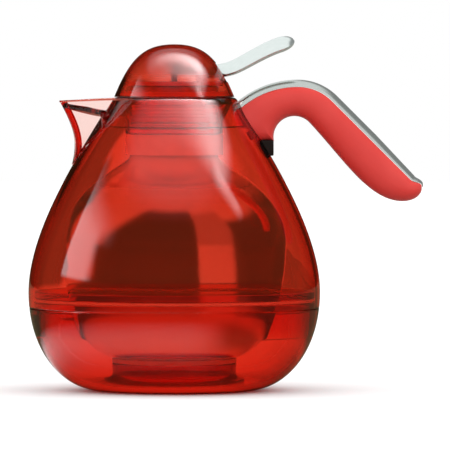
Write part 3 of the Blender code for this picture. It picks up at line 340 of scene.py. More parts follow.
# Cradle cushion: a soft ring between pedestal and bottle, moulded in clear silicone to the shape of the bottle's
# bottom. It lies loose on the pedestal.
CUSHION_HEIGHT = 2.5
SEAT_POINTS = 7
BOTTLE_STEPS = 40
LINER_NECK_RADIUS = 29.2
LINER_NECK_PULL = 5.0
LINER_BELLY_RADIUS = 74.0
LINER_BELLY_Z = 98.0
LINER_BELLY_PULL = 35.0
LINER_BOTTOM_RADIUS = 36.0
LINER_BOTTOM_PULL = 26.0
LINER_SHOULDER_Z = 154.0
liner_bottom_z = cradle_top + CUSHION_HEIGHT + 2 * FIT


def bottle_line(inset, neck_radius, bottom_inset):
    """Shoulder and bowl of one glass face, inset from the outer bottle's own outer face."""
    neck_z = LINER_SHOULDER_Z - inset
    belly = LINER_BELLY_RADIUS - inset
    bottom = (LINER_BOTTOM_RADIUS - bottom_inset, liner_bottom_z + inset)
    shoulder = bezier(
        (neck_radius, neck_z),
        (neck_radius, neck_z - LINER_NECK_PULL),
        (belly, LINER_BELLY_Z + LINER_BELLY_PULL - inset),
        (belly, LINER_BELLY_Z),
        BOTTLE_STEPS,
    )
    bowl_part = bezier(
        (belly, LINER_BELLY_Z),
        (belly, LINER_BELLY_Z - LINER_BELLY_PULL + inset),
        (bottom[0] + LINER_BOTTOM_PULL, bottom[1]),
        bottom,
        BOTTLE_STEPS,
    )
    return shoulder + bowl_part[1:]


glass_face = bottle_line(0.0, LINER_NECK_RADIUS, 0.0)
under = np.array(glass_face[BOTTLE_STEPS:])[::-1]
outline = [(cradle_bore, cradle_top + FIT)]
for r in np.linspace(cradle_bore, CRADLE_RADIUS, SEAT_POINTS):
    outline.append((r, float(np.interp(r, under[:, 0], under[:, 1])) - FIT))
outline.append((CRADLE_RADIUS, cradle_top + FIT))
dress(turned("cushion_ring", outline), clear_silicone, "body", "clear_silicone", "cradle_cushion")

# Glass bottle: two blown glass walls, one inside the other and sealed at the mouth, with the silvered vacuum space
# between them. The evacuation tip hangs under the bottom, and three pads keep the walls apart.
GLASS_WALL = 1.6
VACUUM_GAP = 5.0
NECK_VACUUM_GAP = 1.4
MOUTH_Z = 166.0
TIP_RADIUS = 3.0
TIP_HEIGHT = 7.0
TIP_START = 4.0
TIP_SPREAD = 1.2
TIP_ROOT_DROP = 0.1
TIP_ROOT_PULL = 0.5
TIP_STEPS = 12
mouth_bore = LINER_NECK_RADIUS - 2 * GLASS_WALL - NECK_VACUUM_GAP
inner_neck = mouth_bore + GLASS_WALL
lip_z = MOUTH_Z - GLASS_WALL
outer_top = lip_z - FIT
tip_z = liner_bottom_z - TIP_HEIGHT
tip = bezier(
    (TIP_START * TIP_RADIUS, liner_bottom_z - TIP_ROOT_DROP),
    (TIP_RADIUS, liner_bottom_z - TIP_ROOT_PULL),
    (TIP_SPREAD * TIP_RADIUS, tip_z),
    (0.0, tip_z),
    TIP_STEPS,
)
neck = LINER_NECK_RADIUS - GLASS_WALL
inside = [(neck, outer_top)] + bottle_line(GLASS_WALL, neck, GLASS_WALL) + [(0.0, liner_bottom_z + GLASS_WALL)]
outer_bottle = turned("glass_bottle_outer", inside[::-1] + [(LINER_NECK_RADIUS, outer_top)] + glass_face + tip)
second = VACUUM_GAP + GLASS_WALL
third = second + GLASS_WALL
outside = [(inner_neck, lip_z)] + bottle_line(second, inner_neck, second) + [(0.0, liner_bottom_z + second)]
inside = [(mouth_bore, MOUTH_Z)] + bottle_line(third, mouth_bore, third) + [(0.0, liner_bottom_z + third)]
lip = [(LINER_NECK_RADIUS, MOUTH_Z), (LINER_NECK_RADIUS, lip_z)]
inner_bottle = turned("glass_bottle_inner", inside[::-1] + lip + outside)

# Silvered glass: a mirror seen through thin glass, faintly warm, a little cloudy where the silver is thin, and wavy
# as blown glass is. Towards the neck, which was worked in a flame, the silver thins out and the glass looks milky.
MILKY_LOW_Z = 124.0
MILKY_HIGH_Z = 146.0
MILKY_METAL = 0.35
silvered_glass, tree, place = new_finish("silvered_blown_glass")
height = add_node(tree, "SeparateXYZ", {0: place}).node.outputs["Z"]
metal = {"Value": height, "From Min": MILKY_LOW_Z * MM, "From Max": MILKY_HIGH_Z * MM}
metal |= {"To Min": 1.0, "To Max": MILKY_METAL}
metal = add_node(tree, "MapRange", metal, interpolation_type="SMOOTHSTEP")
mottled(tree, place, "#F4F1EC", "#E2DED8", (0.08, 0.16), 35.0, 4.0, (0.08, 2.0), {"Metallic": metal})
dress(outer_bottle, silvered_glass, "body", "silvered_glass", "liner_outer_wall")
dress(inner_bottle, silvered_glass, "body", "silvered_glass", "liner_inner_wall")

# White moulded plastic: the pads between the walls, and later the valve's plug. Satin, with a fine spark-eroded grain.
white_plastic, tree, place = new_finish("white_polypropylene_moulded")
mottled(tree, place, "#EDEAE4", "#DEDAD3", 0.42, spot=0.8, detail=2.0, relief=(0.15, 0.1))
for number in (1, 2, 3):
    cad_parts[f"liner_spacer_{number}"].data.materials[0] = white_plastic

# Neck seal: a cap ring over the bottle's mouth, with a skirt round the neck. It is moulded in milky silicone, and the
# collar's sleeve presses it down.
SLEEVE_BORE = 30.0
SLEEVE_OUTER = 32.2
SLEEVE_BOTTOM_Z = 169.0
SLEEVE_TOP_Z = 179.0
NECK_SEAL_SKIRT = 11.0
skirt = LINER_NECK_RADIUS + FIT
outline = [
    (mouth_bore, SLEEVE_BOTTOM_Z - FIT),
    (SLEEVE_OUTER, SLEEVE_BOTTOM_Z - FIT),
    (SLEEVE_OUTER, MOUTH_Z - NECK_SEAL_SKIRT),
    (skirt, MOUTH_Z - NECK_SEAL_SKIRT),
    (skirt, MOUTH_Z + FIT),
    (mouth_bore, MOUTH_Z + FIT),
]
dress(bevelled(turned("neck_ring", outline), SEAL_EDGE), clear_silicone, "body", "clear_silicone", "neck_seal")

# Upper shell: the pear-shaped body, moulded in red acrylic with a rounded rim. It has a notch in the rim through which
# the pouring tray passes into the beak.
LIP_HEIGHT = 1.5
NOTCH_HALF_WIDTH = 9.0
NOTCH_Z = 181.2
NOTCH_FRONT_X = -70.0
NOTCH_TOP_Z = RIM_Z + 20.0
NOTCH_BACK_X = -20.0
NOTCH_ROUND = 3.0
WAIST_Z = 120.0
NECK_RINGS = 50
WAIST_RINGS = 40
LIP_STEPS = 8
SHELL_SIDES = 192
BLOCK_SEGMENTS = 5
neck_heights = np.linspace(RIM_Z - LIP_HEIGHT, WAIST_Z, NECK_RINGS)
heights = np.concatenate((neck_heights, np.linspace(WAIST_Z, SEAM_Z, WAIST_RINGS)[1:]))
outline = [(body_radius(z), z) for z in heights]
outline += [(shell_bore(z), z) for z in heights[::-1]]
for turn in np.linspace(math.pi, 0.0, LIP_STEPS + 1)[1:-1]:
    z = RIM_Z - LIP_HEIGHT + LIP_HEIGHT * math.sin(turn)
    middle = (body_radius(z) + shell_bore(z)) / 2
    outline.append((middle + (body_radius(z) - middle) * math.cos(turn), z))
shell = bevelled(turned("shell_moulding", outline, SHELL_SIDES), BOWL_EDGE, 2, 60.0)


def cut(piece, tool, operation="DIFFERENCE"):
    """Cuts a tool from a piece, or joins it to the piece, and throws the tool away."""
    worked(piece, "BOOLEAN", operation=operation, solver="EXACT", object=tool)
    bpy.data.objects.remove(tool)
    return piece


def block(low, high, rounding=0.0):
    """A tool block between two corners, with its edges rounded."""
    made = start("tool_block", bpy.ops.mesh.primitive_cube_add, size=MM)
    edit(made)
    size = [high[axis] - low[axis] for axis in range(3)]
    bpy.ops.transform.resize(value=size)
    bpy.ops.transform.translate(value=[(high[axis] + low[axis]) / 2 * MM for axis in range(3)])
    if rounding:
        bpy.ops.mesh.bevel(offset=rounding * MM, segments=BLOCK_SEGMENTS, affect="EDGES")
    close()
    return made


def notch_tool(back_x):
    """The block that cuts the notch, from in front of the beak's root to a place inside the neck."""
    return block((NOTCH_FRONT_X, -NOTCH_HALF_WIDTH, NOTCH_Z), (back_x, NOTCH_HALF_WIDTH, NOTCH_TOP_Z), NOTCH_ROUND)


shell = cut(shell, notch_tool(NOTCH_BACK_X))
dress(shell, red_acrylic, "body", "red_acrylic", "upper_shell")

# Beak: a thin red acrylic spout, moulded with a solid prow and a beaded rim, and bonded on the shell's neck along a
# leaf-shaped line.
SPOUT_REACH = 75.9
SPOUT_TIP_Z = 191.2
SPOUT_TIP_LEAN = math.radians(28.6)
SPOUT_TIP_PULL = 21.3
SPOUT_ROOT_Z = 146.7
SPOUT_ROOT_LEAN = math.radians(15.9)
SPOUT_ROOT_PULL = 18.0
SPOUT_NOSE = 0.07
BEAK_WALL = 0.3
PROW_BEAD = 2.2
RIM_BEAD = 0.55
BEAK_STANDOFF = 0.15
BEAK_ROOT_RISE = 2.5
BEAK_CROWD = 1.4
LEAST_BEARING = 0.004
PROW_SINK = 0.6
SPOUT_STEPS = 120
BEAK_COLUMNS = 96
BEAK_ROWS = 60
BEAD_RESOLUTION = 5
ROW_TOLERANCE = 0.001
LEAST_STRETCH = 0.001
SHEET_SMOOTH_ANGLE = 40.0
spout_line = bezier(
    (SPOUT_REACH, SPOUT_TIP_Z),
    (
        SPOUT_REACH - SPOUT_TIP_PULL * math.sin(SPOUT_TIP_LEAN),
        SPOUT_TIP_Z - SPOUT_TIP_PULL * math.cos(SPOUT_TIP_LEAN),
    ),
    (
        body_radius(SPOUT_ROOT_Z) - SPOUT_ROOT_PULL * math.sin(SPOUT_ROOT_LEAN),
        SPOUT_ROOT_Z + SPOUT_ROOT_PULL * math.cos(SPOUT_ROOT_LEAN),
    ),
    (body_radius(SPOUT_ROOT_Z), SPOUT_ROOT_Z),
    SPOUT_STEPS,
)


def prow(z):
    """Height and reach of the beak's prow at the height of the round neck that it grows from."""
    climb = (z - SPOUT_ROOT_Z) / (RIM_Z - SPOUT_ROOT_Z)
    prow_z = SPOUT_ROOT_Z + climb * (SPOUT_TIP_Z - SPOUT_ROOT_Z)
    return prow_z, max(radius_at(spout_line, prow_z), body_radius(z))


def sheet(name, columns, rows):
    """A flat grid from -1 to 1 both ways, to be bent into shape."""
    grid = bpy.ops.mesh.primitive_grid_add
    return start(name, grid, x_subdivisions=columns, y_subdivisions=rows, size=2.0)


beak = sheet("beak_moulding", BEAK_COLUMNS, BEAK_ROWS)
root_z = SPOUT_ROOT_Z + BEAK_ROOT_RISE
prow_row, rim_row = [], []
for vert in beak.data.vertices:
    across, up = vert.co.x, (vert.co.y + 1.0) / 2.0
    if abs(across) < ROW_TOLERANCE:
        prow_row.append(vert.index)
    if up > 1.0 - ROW_TOLERANCE:
        rim_row.append(vert.index)
    z = root_z + (RIM_Z - root_z) * up
    radius = body_radius(z)
    prow_z, reach = prow(z)
    tangent = math.acos(min(radius / reach, 1.0))
    clear = math.acos(radius / (radius + BEAK_WALL + BEAK_STANDOFF))
    bearing = math.copysign(abs(across) ** BEAK_CROWD, across) * max(tangent - clear, LEAST_BEARING)
    rounded = math.hypot(bearing, SPOUT_NOSE) - SPOUT_NOSE
    stretch = 1.0 / math.cos(max(tangent - rounded, 0.0))
    along = (stretch - 1.0) / max(reach / radius - 1.0, LEAST_STRETCH)
    vert.co = (
        -radius * stretch * math.cos(bearing) * MM,
        -radius * stretch * math.sin(bearing) * MM,
        (z + along * (prow_z - z)) * MM,
    )


def bead(source, row, name, radius, shift):
    """A round bead along a row of a piece's corners, moved by a shift in millimetres."""
    for vert in source.data.vertices:
        vert.select = vert.index in row
    for part in list(source.data.edges) + list(source.data.polygons):
        part.select = False
    pick(source)
    bpy.ops.object.mode_set(mode="EDIT")
    bpy.ops.mesh.select_mode(type="VERT")
    bpy.ops.mesh.duplicate()
    bpy.ops.mesh.separate(type="SELECTED")
    bpy.ops.object.mode_set(mode="OBJECT")
    made = [piece for piece in bpy.context.selected_objects if piece != source][0]
    pick(made)
    bpy.ops.object.convert(target="CURVE")
    made.data.bevel_depth = radius * MM
    made.data.bevel_resolution = BEAD_RESOLUTION
    made.data.use_fill_caps = True
    bpy.ops.object.convert(target="MESH")
    made.name = made.data.name = name
    edit(made)
    bpy.ops.transform.translate(value=[way * MM for way in shift])
    close()
    return made


prow_bead = bead(beak, set(prow_row), "beak_prow", PROW_BEAD, (PROW_BEAD + 2 * BEAK_WALL, 0.0, -PROW_SINK))
rim_bead = bead(beak, set(rim_row), "beak_rim", RIM_BEAD, (RIM_BEAD, 0.0, -RIM_BEAD))
worked(beak, "SOLIDIFY", SHEET_SMOOTH_ANGLE, thickness=BEAK_WALL * MM, offset=-1.0, use_even_offset=True)
dress(beak, acrylic_film, "body", "red_acrylic", "upper_shell")
# The beads get the acrylic copy with more dye: painted shade along the prow and the rim.
for piece in (prow_bead, rim_bead):
    dress(piece, shaded_acrylic, "body", "red_acrylic", "upper_shell")

# Neck collar: a ring bonded inside the neck, moulded in red acrylic and given its copy with less dye, which is painted
# light. It has a skirt on the shell, a sleeve that takes the stopper and a web between them, notched towards the beak.
COLLAR_GAP = 0.6
COLLAR_TOP_Z = 192.0
COLLAR_BOTTOM_Z = 173.0
COLLAR_WALL = 2.0
COLLAR_LIP = 1.4
COLLAR_EDGE = 0.4
COLLAR_NOTCH_BACK_X = -33.0
SKIRT_OUTER_RINGS = 16
SKIRT_INNER_RINGS = 14
WEB_HEIGHT = 4.0
web_z = COLLAR_TOP_Z - WEB_HEIGHT
outer_heights = np.linspace(COLLAR_TOP_Z, COLLAR_BOTTOM_Z, SKIRT_OUTER_RINGS)
inner_heights = np.linspace(COLLAR_BOTTOM_Z, web_z, SKIRT_INNER_RINGS)
outline = [(shell_bore(z) - COLLAR_GAP, z) for z in outer_heights]
outline += [(shell_bore(z) - COLLAR_GAP - COLLAR_WALL, z) for z in inner_heights]
outline += [
    (SLEEVE_OUTER, SLEEVE_TOP_Z - COLLAR_WALL),
    (SLEEVE_OUTER, SLEEVE_BOTTOM_Z),
    (SLEEVE_BORE, SLEEVE_BOTTOM_Z),
    (SLEEVE_BORE, SLEEVE_TOP_Z),
    (shell_bore(COLLAR_TOP_Z) - COLLAR_GAP - COLLAR_LIP, COLLAR_TOP_Z),
]
collar = bevelled(turned("collar_moulding", outline), COLLAR_EDGE, 2)
collar = cut(collar, notch_tool(COLLAR_NOTCH_BACK_X))
dress(collar, lit_acrylic, "body", "red_acrylic", "neck_collar")

# Pouring tray: the collar's tongue, which carries the drink over the neck into the beak. It is dished and moulded in
# the same red acrylic.
TRAY_WALL = 3.2
TRAY_DISH = 1.6
TRAY_START = 34.0
TRAY_END = 72.6
TRAY_LOW_Z = 182.6
TRAY_BEND = 48.0
TRAY_HIGH_Z = 189.6
TRAY_CLEAR = 2.0
TRAY_RISE = 0.9
TRAY_CURVE = 1.15
TRAY_RIM = 2.0
TRAY_SIDE_GAP = 0.4
TRAY_DISH_HALF = 10.0
TRAY_COLUMNS = 48
TRAY_ROWS = 24
tray = sheet("pouring_tray", TRAY_COLUMNS, TRAY_ROWS)
for vert in tray.data.vertices:
    along, side = (vert.co.x + 1.0) / 2.0, vert.co.y
    out = TRAY_START + (TRAY_END - TRAY_START) * along
    climb = max((out - TRAY_BEND) / (TRAY_END - TRAY_BEND), 0.0)
    floor = TRAY_LOW_Z + TRAY_RISE * min((out - TRAY_START) / (TRAY_BEND - TRAY_START), 1.0)
    floor += (TRAY_HIGH_Z - floor) * climb**TRAY_CURVE
    level = min(floor + TRAY_RIM, SPOUT_TIP_Z)
    radius = body_radius(level)
    reach = radius_at(spout_line, level)
    half = max((reach - out) * radius / math.sqrt(reach**2 - radius**2) - TRAY_CLEAR, TRAY_SIDE_GAP)
    if out < radius + TRAY_CLEAR:
        half = min(half, NOTCH_HALF_WIDTH - TRAY_SIDE_GAP)
    dish = TRAY_DISH * side**2 * min(half / TRAY_DISH_HALF, 1.0)
    vert.co = (-out * MM, -side * half * MM, (floor + dish) * MM)
worked(tray, "SOLIDIFY", SHEET_SMOOTH_ANGLE, thickness=TRAY_WALL * MM, offset=-1.0)
dress(tray, red_acrylic, "body", "red_acrylic", "neck_collar")

# Handle: a solid-looking grip moulded in satin red plastic, screwed on from inside the shell. Its flat top takes the
# metal strip.
ROOT_BOTTOM_Z = 164.5
ROOT_STANDOFF = 7.6
PAD_HEIGHT = 9.5
ARCH_RADIUS = 13.7
ARCH_FOOT_ANGLE = math.radians(12.0)
CREST_OFFSET = 2.1
CREST_RISE = 7.1
CREST_DEPTH = 19.3
LIFT_GAP = 1.0
LID_TOP_Z = 228.4
ROOT_ANGLE = math.radians(38.0)
ROOT_ARC_RADIUS = 57.2
ROOT_DEPTH = 11.0
BEND_RADIUS = 32.2
GRIP_SLOPE = math.radians(45.0)
GRIP_RUN = 73.0
GRIP_WIDTH = 24.0
GRIP_SIDES = 40
GRIP_SECTION = (0.77, 0.77, 1.05)
GRIP_FLAT = 0.84
UNDERSIDE_SLOPE = math.radians(47.0)
UNDERSIDE_PULL = 35.0
HEEL_PULL = 22.0
TOE_REACH = 7.6
TOE_DROP = 5.1
TOE_PULL = 4.0
TOE_ROUND = 8.0
TOE_END = 1.0
TOE_TIP_SHARE = 0.22
HEEL_BACK = 12.7
HEEL_DROP = 9.3
ROOT_STEPS = 20
BEND_STEPS = 16
RUN_STEPS = 30
TOE_STEPS = 20
ENVELOPE_RINGS = 40
arch_z = RIM_Z + CREST_RISE - CREST_DEPTH - ARCH_RADIUS
arch = (body_radius(ROOT_BOTTOM_Z) + ROOT_STANDOFF + ARCH_RADIUS, arch_z)


def body_envelope():
    """The body, and the way that the lid lifts out, as a tool that shapes what lies against it."""
    low = ROOT_BOTTOM_Z - 2 * PAD_HEIGHT
    heights = np.linspace(low, RIM_Z, ENVELOPE_RINGS)
    outline = [(0.0, low)] + [(body_radius(z) + FIT, z) for z in heights]
    outline += [(RIM_RADIUS + LIFT_GAP, RIM_Z), (RIM_RADIUS + LIFT_GAP, LID_TOP_Z), (0.0, LID_TOP_Z)]
    return turned("envelope", outline)


def arc(centre, radius, begin, end, count):
    """Points of an arc from one angle to another, both ends included."""
    return [
        (centre[0] + radius * math.cos(a), centre[1] + radius * math.sin(a))
        for a in np.linspace(begin, end, count + 1)
    ]


quarter = math.pi / 2
down = Vector((math.cos(GRIP_SLOPE), -math.sin(GRIP_SLOPE)))
crest = (arch[0] + CREST_OFFSET, RIM_Z + CREST_RISE)
top_root = arc((crest[0], crest[1] - ROOT_ARC_RADIUS), ROOT_ARC_RADIUS, quarter + ROOT_ANGLE, quarter, ROOT_STEPS)
top_bend = arc((crest[0], crest[1] - BEND_RADIUS), BEND_RADIUS, quarter, quarter - GRIP_SLOPE, BEND_STEPS)
bend_end = Vector(top_bend[-1])
run_end = bend_end + down * GRIP_RUN
toe = run_end + Vector((TOE_REACH, -TOE_DROP))
top_run = [tuple(point) for point in np.linspace(bend_end, run_end, RUN_STEPS + 1)]
top_toe = bezier(run_end, run_end + down * TOE_PULL, toe + Vector((0.0, TOE_PULL)), toe, TOE_STEPS)
low_root = arc(arch, ARCH_RADIUS, math.pi + ARCH_FOOT_ANGLE, quarter, ROOT_STEPS)
low_bend = arc(arch, ARCH_RADIUS, quarter, quarter - GRIP_SLOPE, BEND_STEPS)
low_end = Vector(low_bend[-1])
fall = Vector((math.cos(UNDERSIDE_SLOPE), -math.sin(UNDERSIDE_SLOPE)))
heel = toe - Vector((HEEL_BACK, HEEL_DROP))
low_run = bezier(low_end, low_end + fall * UNDERSIDE_PULL, heel - Vector((HEEL_PULL, 0.0)), heel, RUN_STEPS)
low_tip = toe - Vector((0.0, TOE_END))
low_toe = bezier(heel, heel + Vector((TOE_ROUND, 0.0)), low_tip - Vector((0.0, TOE_PULL)), low_tip, TOE_STEPS)
top_start = Vector(top_root[0]) - Vector((math.cos(ROOT_ANGLE), math.sin(ROOT_ANGLE))) * ROOT_DEPTH
low_start = (low_root[0][0] - 2 * ROOT_DEPTH + ROOT_STANDOFF, low_root[0][1])
grip_top = [tuple(top_start)] + top_root + top_bend[1:] + top_run[1:] + top_toe[1:]
grip_low = [low_start] + low_root + low_bend[1:] + low_run[1:] + low_toe[1:]


def toe_share(step):
    """1 along the handle, falling round its toe to the share that its tip keeps."""
    rounding = max((step - (len(grip_top) - 1 - TOE_STEPS)) / TOE_STEPS, 0.0)
    return max(math.sqrt(1.0 - rounding**2), TOE_TIP_SHARE)


def rounded_section(powers, sides, flat=1.0):
    """A soft-cornered section of half width and half depth 1, cut level at the top. Its powers are for the width, the
    upper side and the lower side."""
    section = []
    for side in range(sides):
        angle = 2.0 * math.pi * (side + 0.5) / sides
        across = math.copysign(abs(math.cos(angle)) ** powers[0], math.cos(angle))
        up = math.copysign(abs(math.sin(angle)) ** powers[1 if side < sides / 2 else 2], math.sin(angle))
        section.append((across, (min(up, flat) + 1.0) * 2.0 / (flat + 1.0) - 1.0))
    return section


def swept(name, section, stations):
    """Extrudes a section from station to station, each a centre, a half depth as a vector and a half width."""
    circle = bpy.ops.mesh.primitive_circle_add
    piece = start(name, circle, vertices=len(section), radius=1.0, fill_type="NGON")
    for vert, (across, up) in zip(piece.data.vertices, section):
        vert.co = (0.0, across, up)
    edit(piece)
    centre, tilt, depth, width = Vector((0.0, 0.0, 0.0)), 0.0, 1.0, 1.0
    for number, ((x, z), half_up, half_width) in enumerate(stations):
        there = Vector((x * MM, 0.0, z * MM))
        new_tilt = math.atan2(half_up[0], half_up[1])
        new_depth = math.hypot(*half_up) * MM
        if number:
            bpy.ops.mesh.extrude_region_move(TRANSFORM_OT_translate={"value": there - centre})
        else:
            bpy.ops.transform.translate(value=there - centre)
        bpy.ops.transform.rotate(value=tilt, orient_axis="Y", center_override=there)
        bpy.ops.transform.resize(value=(1.0, half_width * MM / width, new_depth / depth), center_override=there)
        bpy.ops.transform.rotate(value=-new_tilt, orient_axis="Y", center_override=there)
        centre, tilt, depth, width = there, new_tilt, new_depth, half_width * MM
    close()
    return piece


grip_stations = []
for step, (high, low) in enumerate(zip(grip_top, grip_low)):
    middle = ((high[0] + low[0]) / 2, (high[1] + low[1]) / 2)
    half_up = (high[0] - middle[0], high[1] - middle[1])
    grip_stations.append((middle, half_up, GRIP_WIDTH / 2 * toe_share(step)))


def grip_form(name):
    """The handle before it is cut to the shape of the body."""
    return swept(name, rounded_section(GRIP_SECTION, GRIP_SIDES, GRIP_FLAT), grip_stations)


grip = cut(grip_form("handle_moulding"), body_envelope())

# Satin red ABS: dyed through, moulded in a finely eroded tool, so its gloss is broken by a grain that shows as a soft
# sheen and its colour shifts a little along the flow of the plastic.
red_plastic, tree, place = new_finish("red_abs_satin")
grain = add_node(tree, "TexNoise", {"Vector": place, "Scale": 1000.0 / 0.6, "Detail": 2.0})
bump = add_node(tree, "Bump", {"Height": grain, "Strength": 0.12, "Distance": 0.1 * MM})
satin = {"Specular IOR Level": 0.3, "Normal": bump}
mottled(tree, place, "#CA2D27", "#D5403A", (0.34, 0.46), spot=26.0, detail=3.0, others=satin)
dress(grip, red_plastic, "body", "red_plastic", "handle_grip")

# Handle pad: a wedge that fills the corner between the handle's root and the shell, made black as painted shade for
# the dark in that corner. It is given a black rubber finish, shaped to both, and the handle holds it.
PAD_WIDTH = 18.0
PAD_OVERLAP = 0.8
PAD_BACK_X = 10.0
PAD_ROUND = 1.0
pad_face = body_radius(ROOT_BOTTOM_Z) + ROOT_STANDOFF
pad_top = arch[1] - ARCH_RADIUS * math.sin(ARCH_FOOT_ANGLE)
pad_low = (PAD_BACK_X, -PAD_WIDTH / 2, pad_top - PAD_HEIGHT)
pad = block(pad_low, (pad_face, PAD_WIDTH / 2, pad_top + PAD_OVERLAP), PAD_ROUND)
pad.name = pad.data.name = "root_shade_wedge"
pad = cut(pad, body_envelope())
pad = cut(pad, grip_form("handle_tool"))

# Black rubber finish, here painted shade: deep and matt, with a dusty grain that lifts the black a little.
black_rubber, tree, place = new_finish("painted_shade_black_moulded")
mottled(tree, place, "#140B08", "#1E120D", 0.75, 0.9, 3.0, (0.2, 0.1), {"Specular IOR Level": 0.2})
dress(pad, black_rubber, "body", "black_rubber", "handle_pad")

# Handle strip: a pressed and chromed metal strip, crowned on top with a flat flange along both edges, glued on the
# handle's flat top from root to toe.
TRIM_WIDTH = 13.0
TRIM_THICK = 4.8
TRIM_END_THICK = 2.2
TRIM_EDGE = 0.12
CROWN_POINTS = 25
CROWN_POWER = 1.4


def heading(path, step):
    """Direction of a path at one of its points."""
    before, after = path[max(step - 1, 0)], path[min(step + 1, len(path) - 1)]
    return Vector((after[0] - before[0], after[1] - before[1])).normalized()


stations = []
for step, point in enumerate(grip_top):
    along = heading(grip_top, step)
    normal = Vector((-along[1], along[0]))
    share = toe_share(step)
    thin = max((step - 1 - ROOT_STEPS - BEND_STEPS - RUN_STEPS / 2) / (RUN_STEPS / 2 + TOE_STEPS), 0.0)
    half = (TRIM_THICK - FIT + (TRIM_END_THICK - TRIM_THICK) * thin) * share / 2
    centre = Vector(point) + normal * (FIT + half)
    stations.append((tuple(centre), tuple(normal * half), TRIM_WIDTH / 2 * share))
crown = [(1.0, -1.0)]
for a in np.linspace(0.0, math.pi, CROWN_POINTS):
    up = TRIM_EDGE + (1.0 - TRIM_EDGE) * max(math.sin(a), 0.0) ** CROWN_POWER
    crown.append((math.cos(a), 2.0 * up - 1.0))
crown.append((-1.0, -1.0))
strip = cut(swept("handle_strip", crown, stations), body_envelope())

# Chrome: a bright, slightly green-grey mirror over polished metal, with fine polishing lines and a breath of haze. The
# strip's is a darker, greyer copy with the same haze: painted shade that dims its reflections.
chromes = []
for finish_name, pale, deep in (("shaded_chrome", "#CBD2CE", "#BCC4C0"), ("polished_chrome", "#EAF2F0", "#DCE6E3")):
    finish, tree, place = new_finish(finish_name)
    lines = add_node(tree, "Mapping", {"Vector": place, "Scale": (0.15, 1.0, 0.15)})
    mottled(tree, lines, pale, deep, (0.2, 0.28), spot=0.5, detail=3.0, others={"Metallic": 1.0})
    chromes.append(finish)
shaded_chrome, chrome = chromes
dress(strip, shaded_chrome, "body", "chrome", "handle_trim")

# Handle screws: two screws turned from stainless steel, driven from inside the shell into the handle's root. The CAD
# solids show as they are, with their own finish.

# Stainless steel: grey, brushed along its turning lines, softer than chrome.
stainless_steel, tree, place = new_finish("stainless_steel_turned")
lines = add_node(tree, "Mapping", {"Vector": place, "Scale": (0.3, 0.3, 4.0)})
mottled(tree, lines, "#C9CACB", "#A9ABAD", (0.42, 0.56), spot=1.2, detail=4.0, others={"Metallic": 1.0})
for node in ("handle_screw_left", "handle_screw_right"):
    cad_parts[node].data.materials[0] = stainless_steel

# Stopper: a cup moulded in red plastic that plugs the collar's sleeve. It has the valve seat in its bottom, grooves
# round its wall, a pouring port towards the beak and a flange under the dome.
STOPPER_RADIUS = 29.2
STOPPER_BORE = 26.0
STOPPER_BOTTOM_Z = 169.5
SEAT_Z = 172.5
SEAT_RADIUS = 12.0
LIP_SEAL_RISE = 2.6
LIP_SEAL_HEIGHT = 4.6
LIP_SEAL_DEPTH = 1.7
FLANGE_Z = 194.0
FLANGE_HEIGHT = 3.0
PORT_WIDTH = 22.0
PORT_FRONT_X = -60.0
PORT_BACK_X = -13.0
PORT_SILL = 1.5
PORT_HEAD = 2.0
PORT_ROUND = 2.0
RIBS_Z = (189.0, 186.6, 184.2, 181.8, 179.4)
RIB_GAP = 1.0
RIB_DEPTH = 0.6
STOPPER_EDGE = 0.4
PLATE_BOTTOM_Z = 200.7
PLATE_TOP_Z = 203.5
LID_BOTTOM_Z = 193.5
LID_RADIUS = 39.7
LID_CROWN_PULL = 19.7
LID_RIM_LEAN = math.radians(22.0)
LID_RIM_PULL = 28.2
LID_WALL = 2.5
LID_STEPS = 64


def lid_line(crown_z, rim_radius, scale):
    """Half of the dome's outline, from its crown to its rim."""
    pull = LID_RIM_PULL * scale
    return bezier(
        (0.0, crown_z),
        (LID_CROWN_PULL * scale, crown_z),
        (rim_radius - pull * math.sin(LID_RIM_LEAN), LID_BOTTOM_Z + pull * math.cos(LID_RIM_LEAN)),
        (rim_radius, LID_BOTTOM_Z),
        LID_STEPS,
    )


lid_bore = LID_RADIUS - LID_WALL / math.cos(LID_RIM_LEAN)
lid_outer = lid_line(LID_TOP_Z, LID_RADIUS, 1.0)
lid_inner = lid_line(LID_TOP_Z - LID_WALL, lid_bore, lid_bore / LID_RADIUS)
flange_top = FLANGE_Z + FLANGE_HEIGHT
lip_low = STOPPER_BOTTOM_Z + LIP_SEAL_RISE
lip_high = lip_low + LIP_SEAL_HEIGHT
cup_top = PLATE_BOTTOM_Z - FIT
outline = [
    (STOPPER_BORE, cup_top),
    (STOPPER_RADIUS, cup_top),
    (STOPPER_RADIUS, flange_top),
    (radius_at(lid_inner, flange_top) - FIT, flange_top),
    (radius_at(lid_inner, FLANGE_Z) - FIT, FLANGE_Z),
    (STOPPER_RADIUS, FLANGE_Z),
]
for rib in RIBS_Z:
    outline += [
        (STOPPER_RADIUS, rib + RIB_GAP / 2),
        (STOPPER_RADIUS - RIB_DEPTH, rib + RIB_GAP / 2),
        (STOPPER_RADIUS - RIB_DEPTH, rib - RIB_GAP / 2),
        (STOPPER_RADIUS, rib - RIB_GAP / 2),
    ]
outline += [
    (STOPPER_RADIUS, lip_high),
    (STOPPER_RADIUS - LIP_SEAL_DEPTH, lip_high),
    (STOPPER_RADIUS - LIP_SEAL_DEPTH, lip_low),
    (STOPPER_RADIUS, lip_low),
    (STOPPER_RADIUS, STOPPER_BOTTOM_Z),
    (SEAT_RADIUS, STOPPER_BOTTOM_Z),
    (SEAT_RADIUS, SEAT_Z),
    (STOPPER_BORE, SEAT_Z),
]
stopper = bevelled(turned("stopper_cup", outline), STOPPER_EDGE, 2)
port_low = (PORT_FRONT_X, -PORT_WIDTH / 2, SLEEVE_TOP_Z + PORT_SILL)
stopper = cut(stopper, block(port_low, (PORT_BACK_X, PORT_WIDTH / 2, FLANGE_Z - PORT_HEAD), PORT_ROUND))
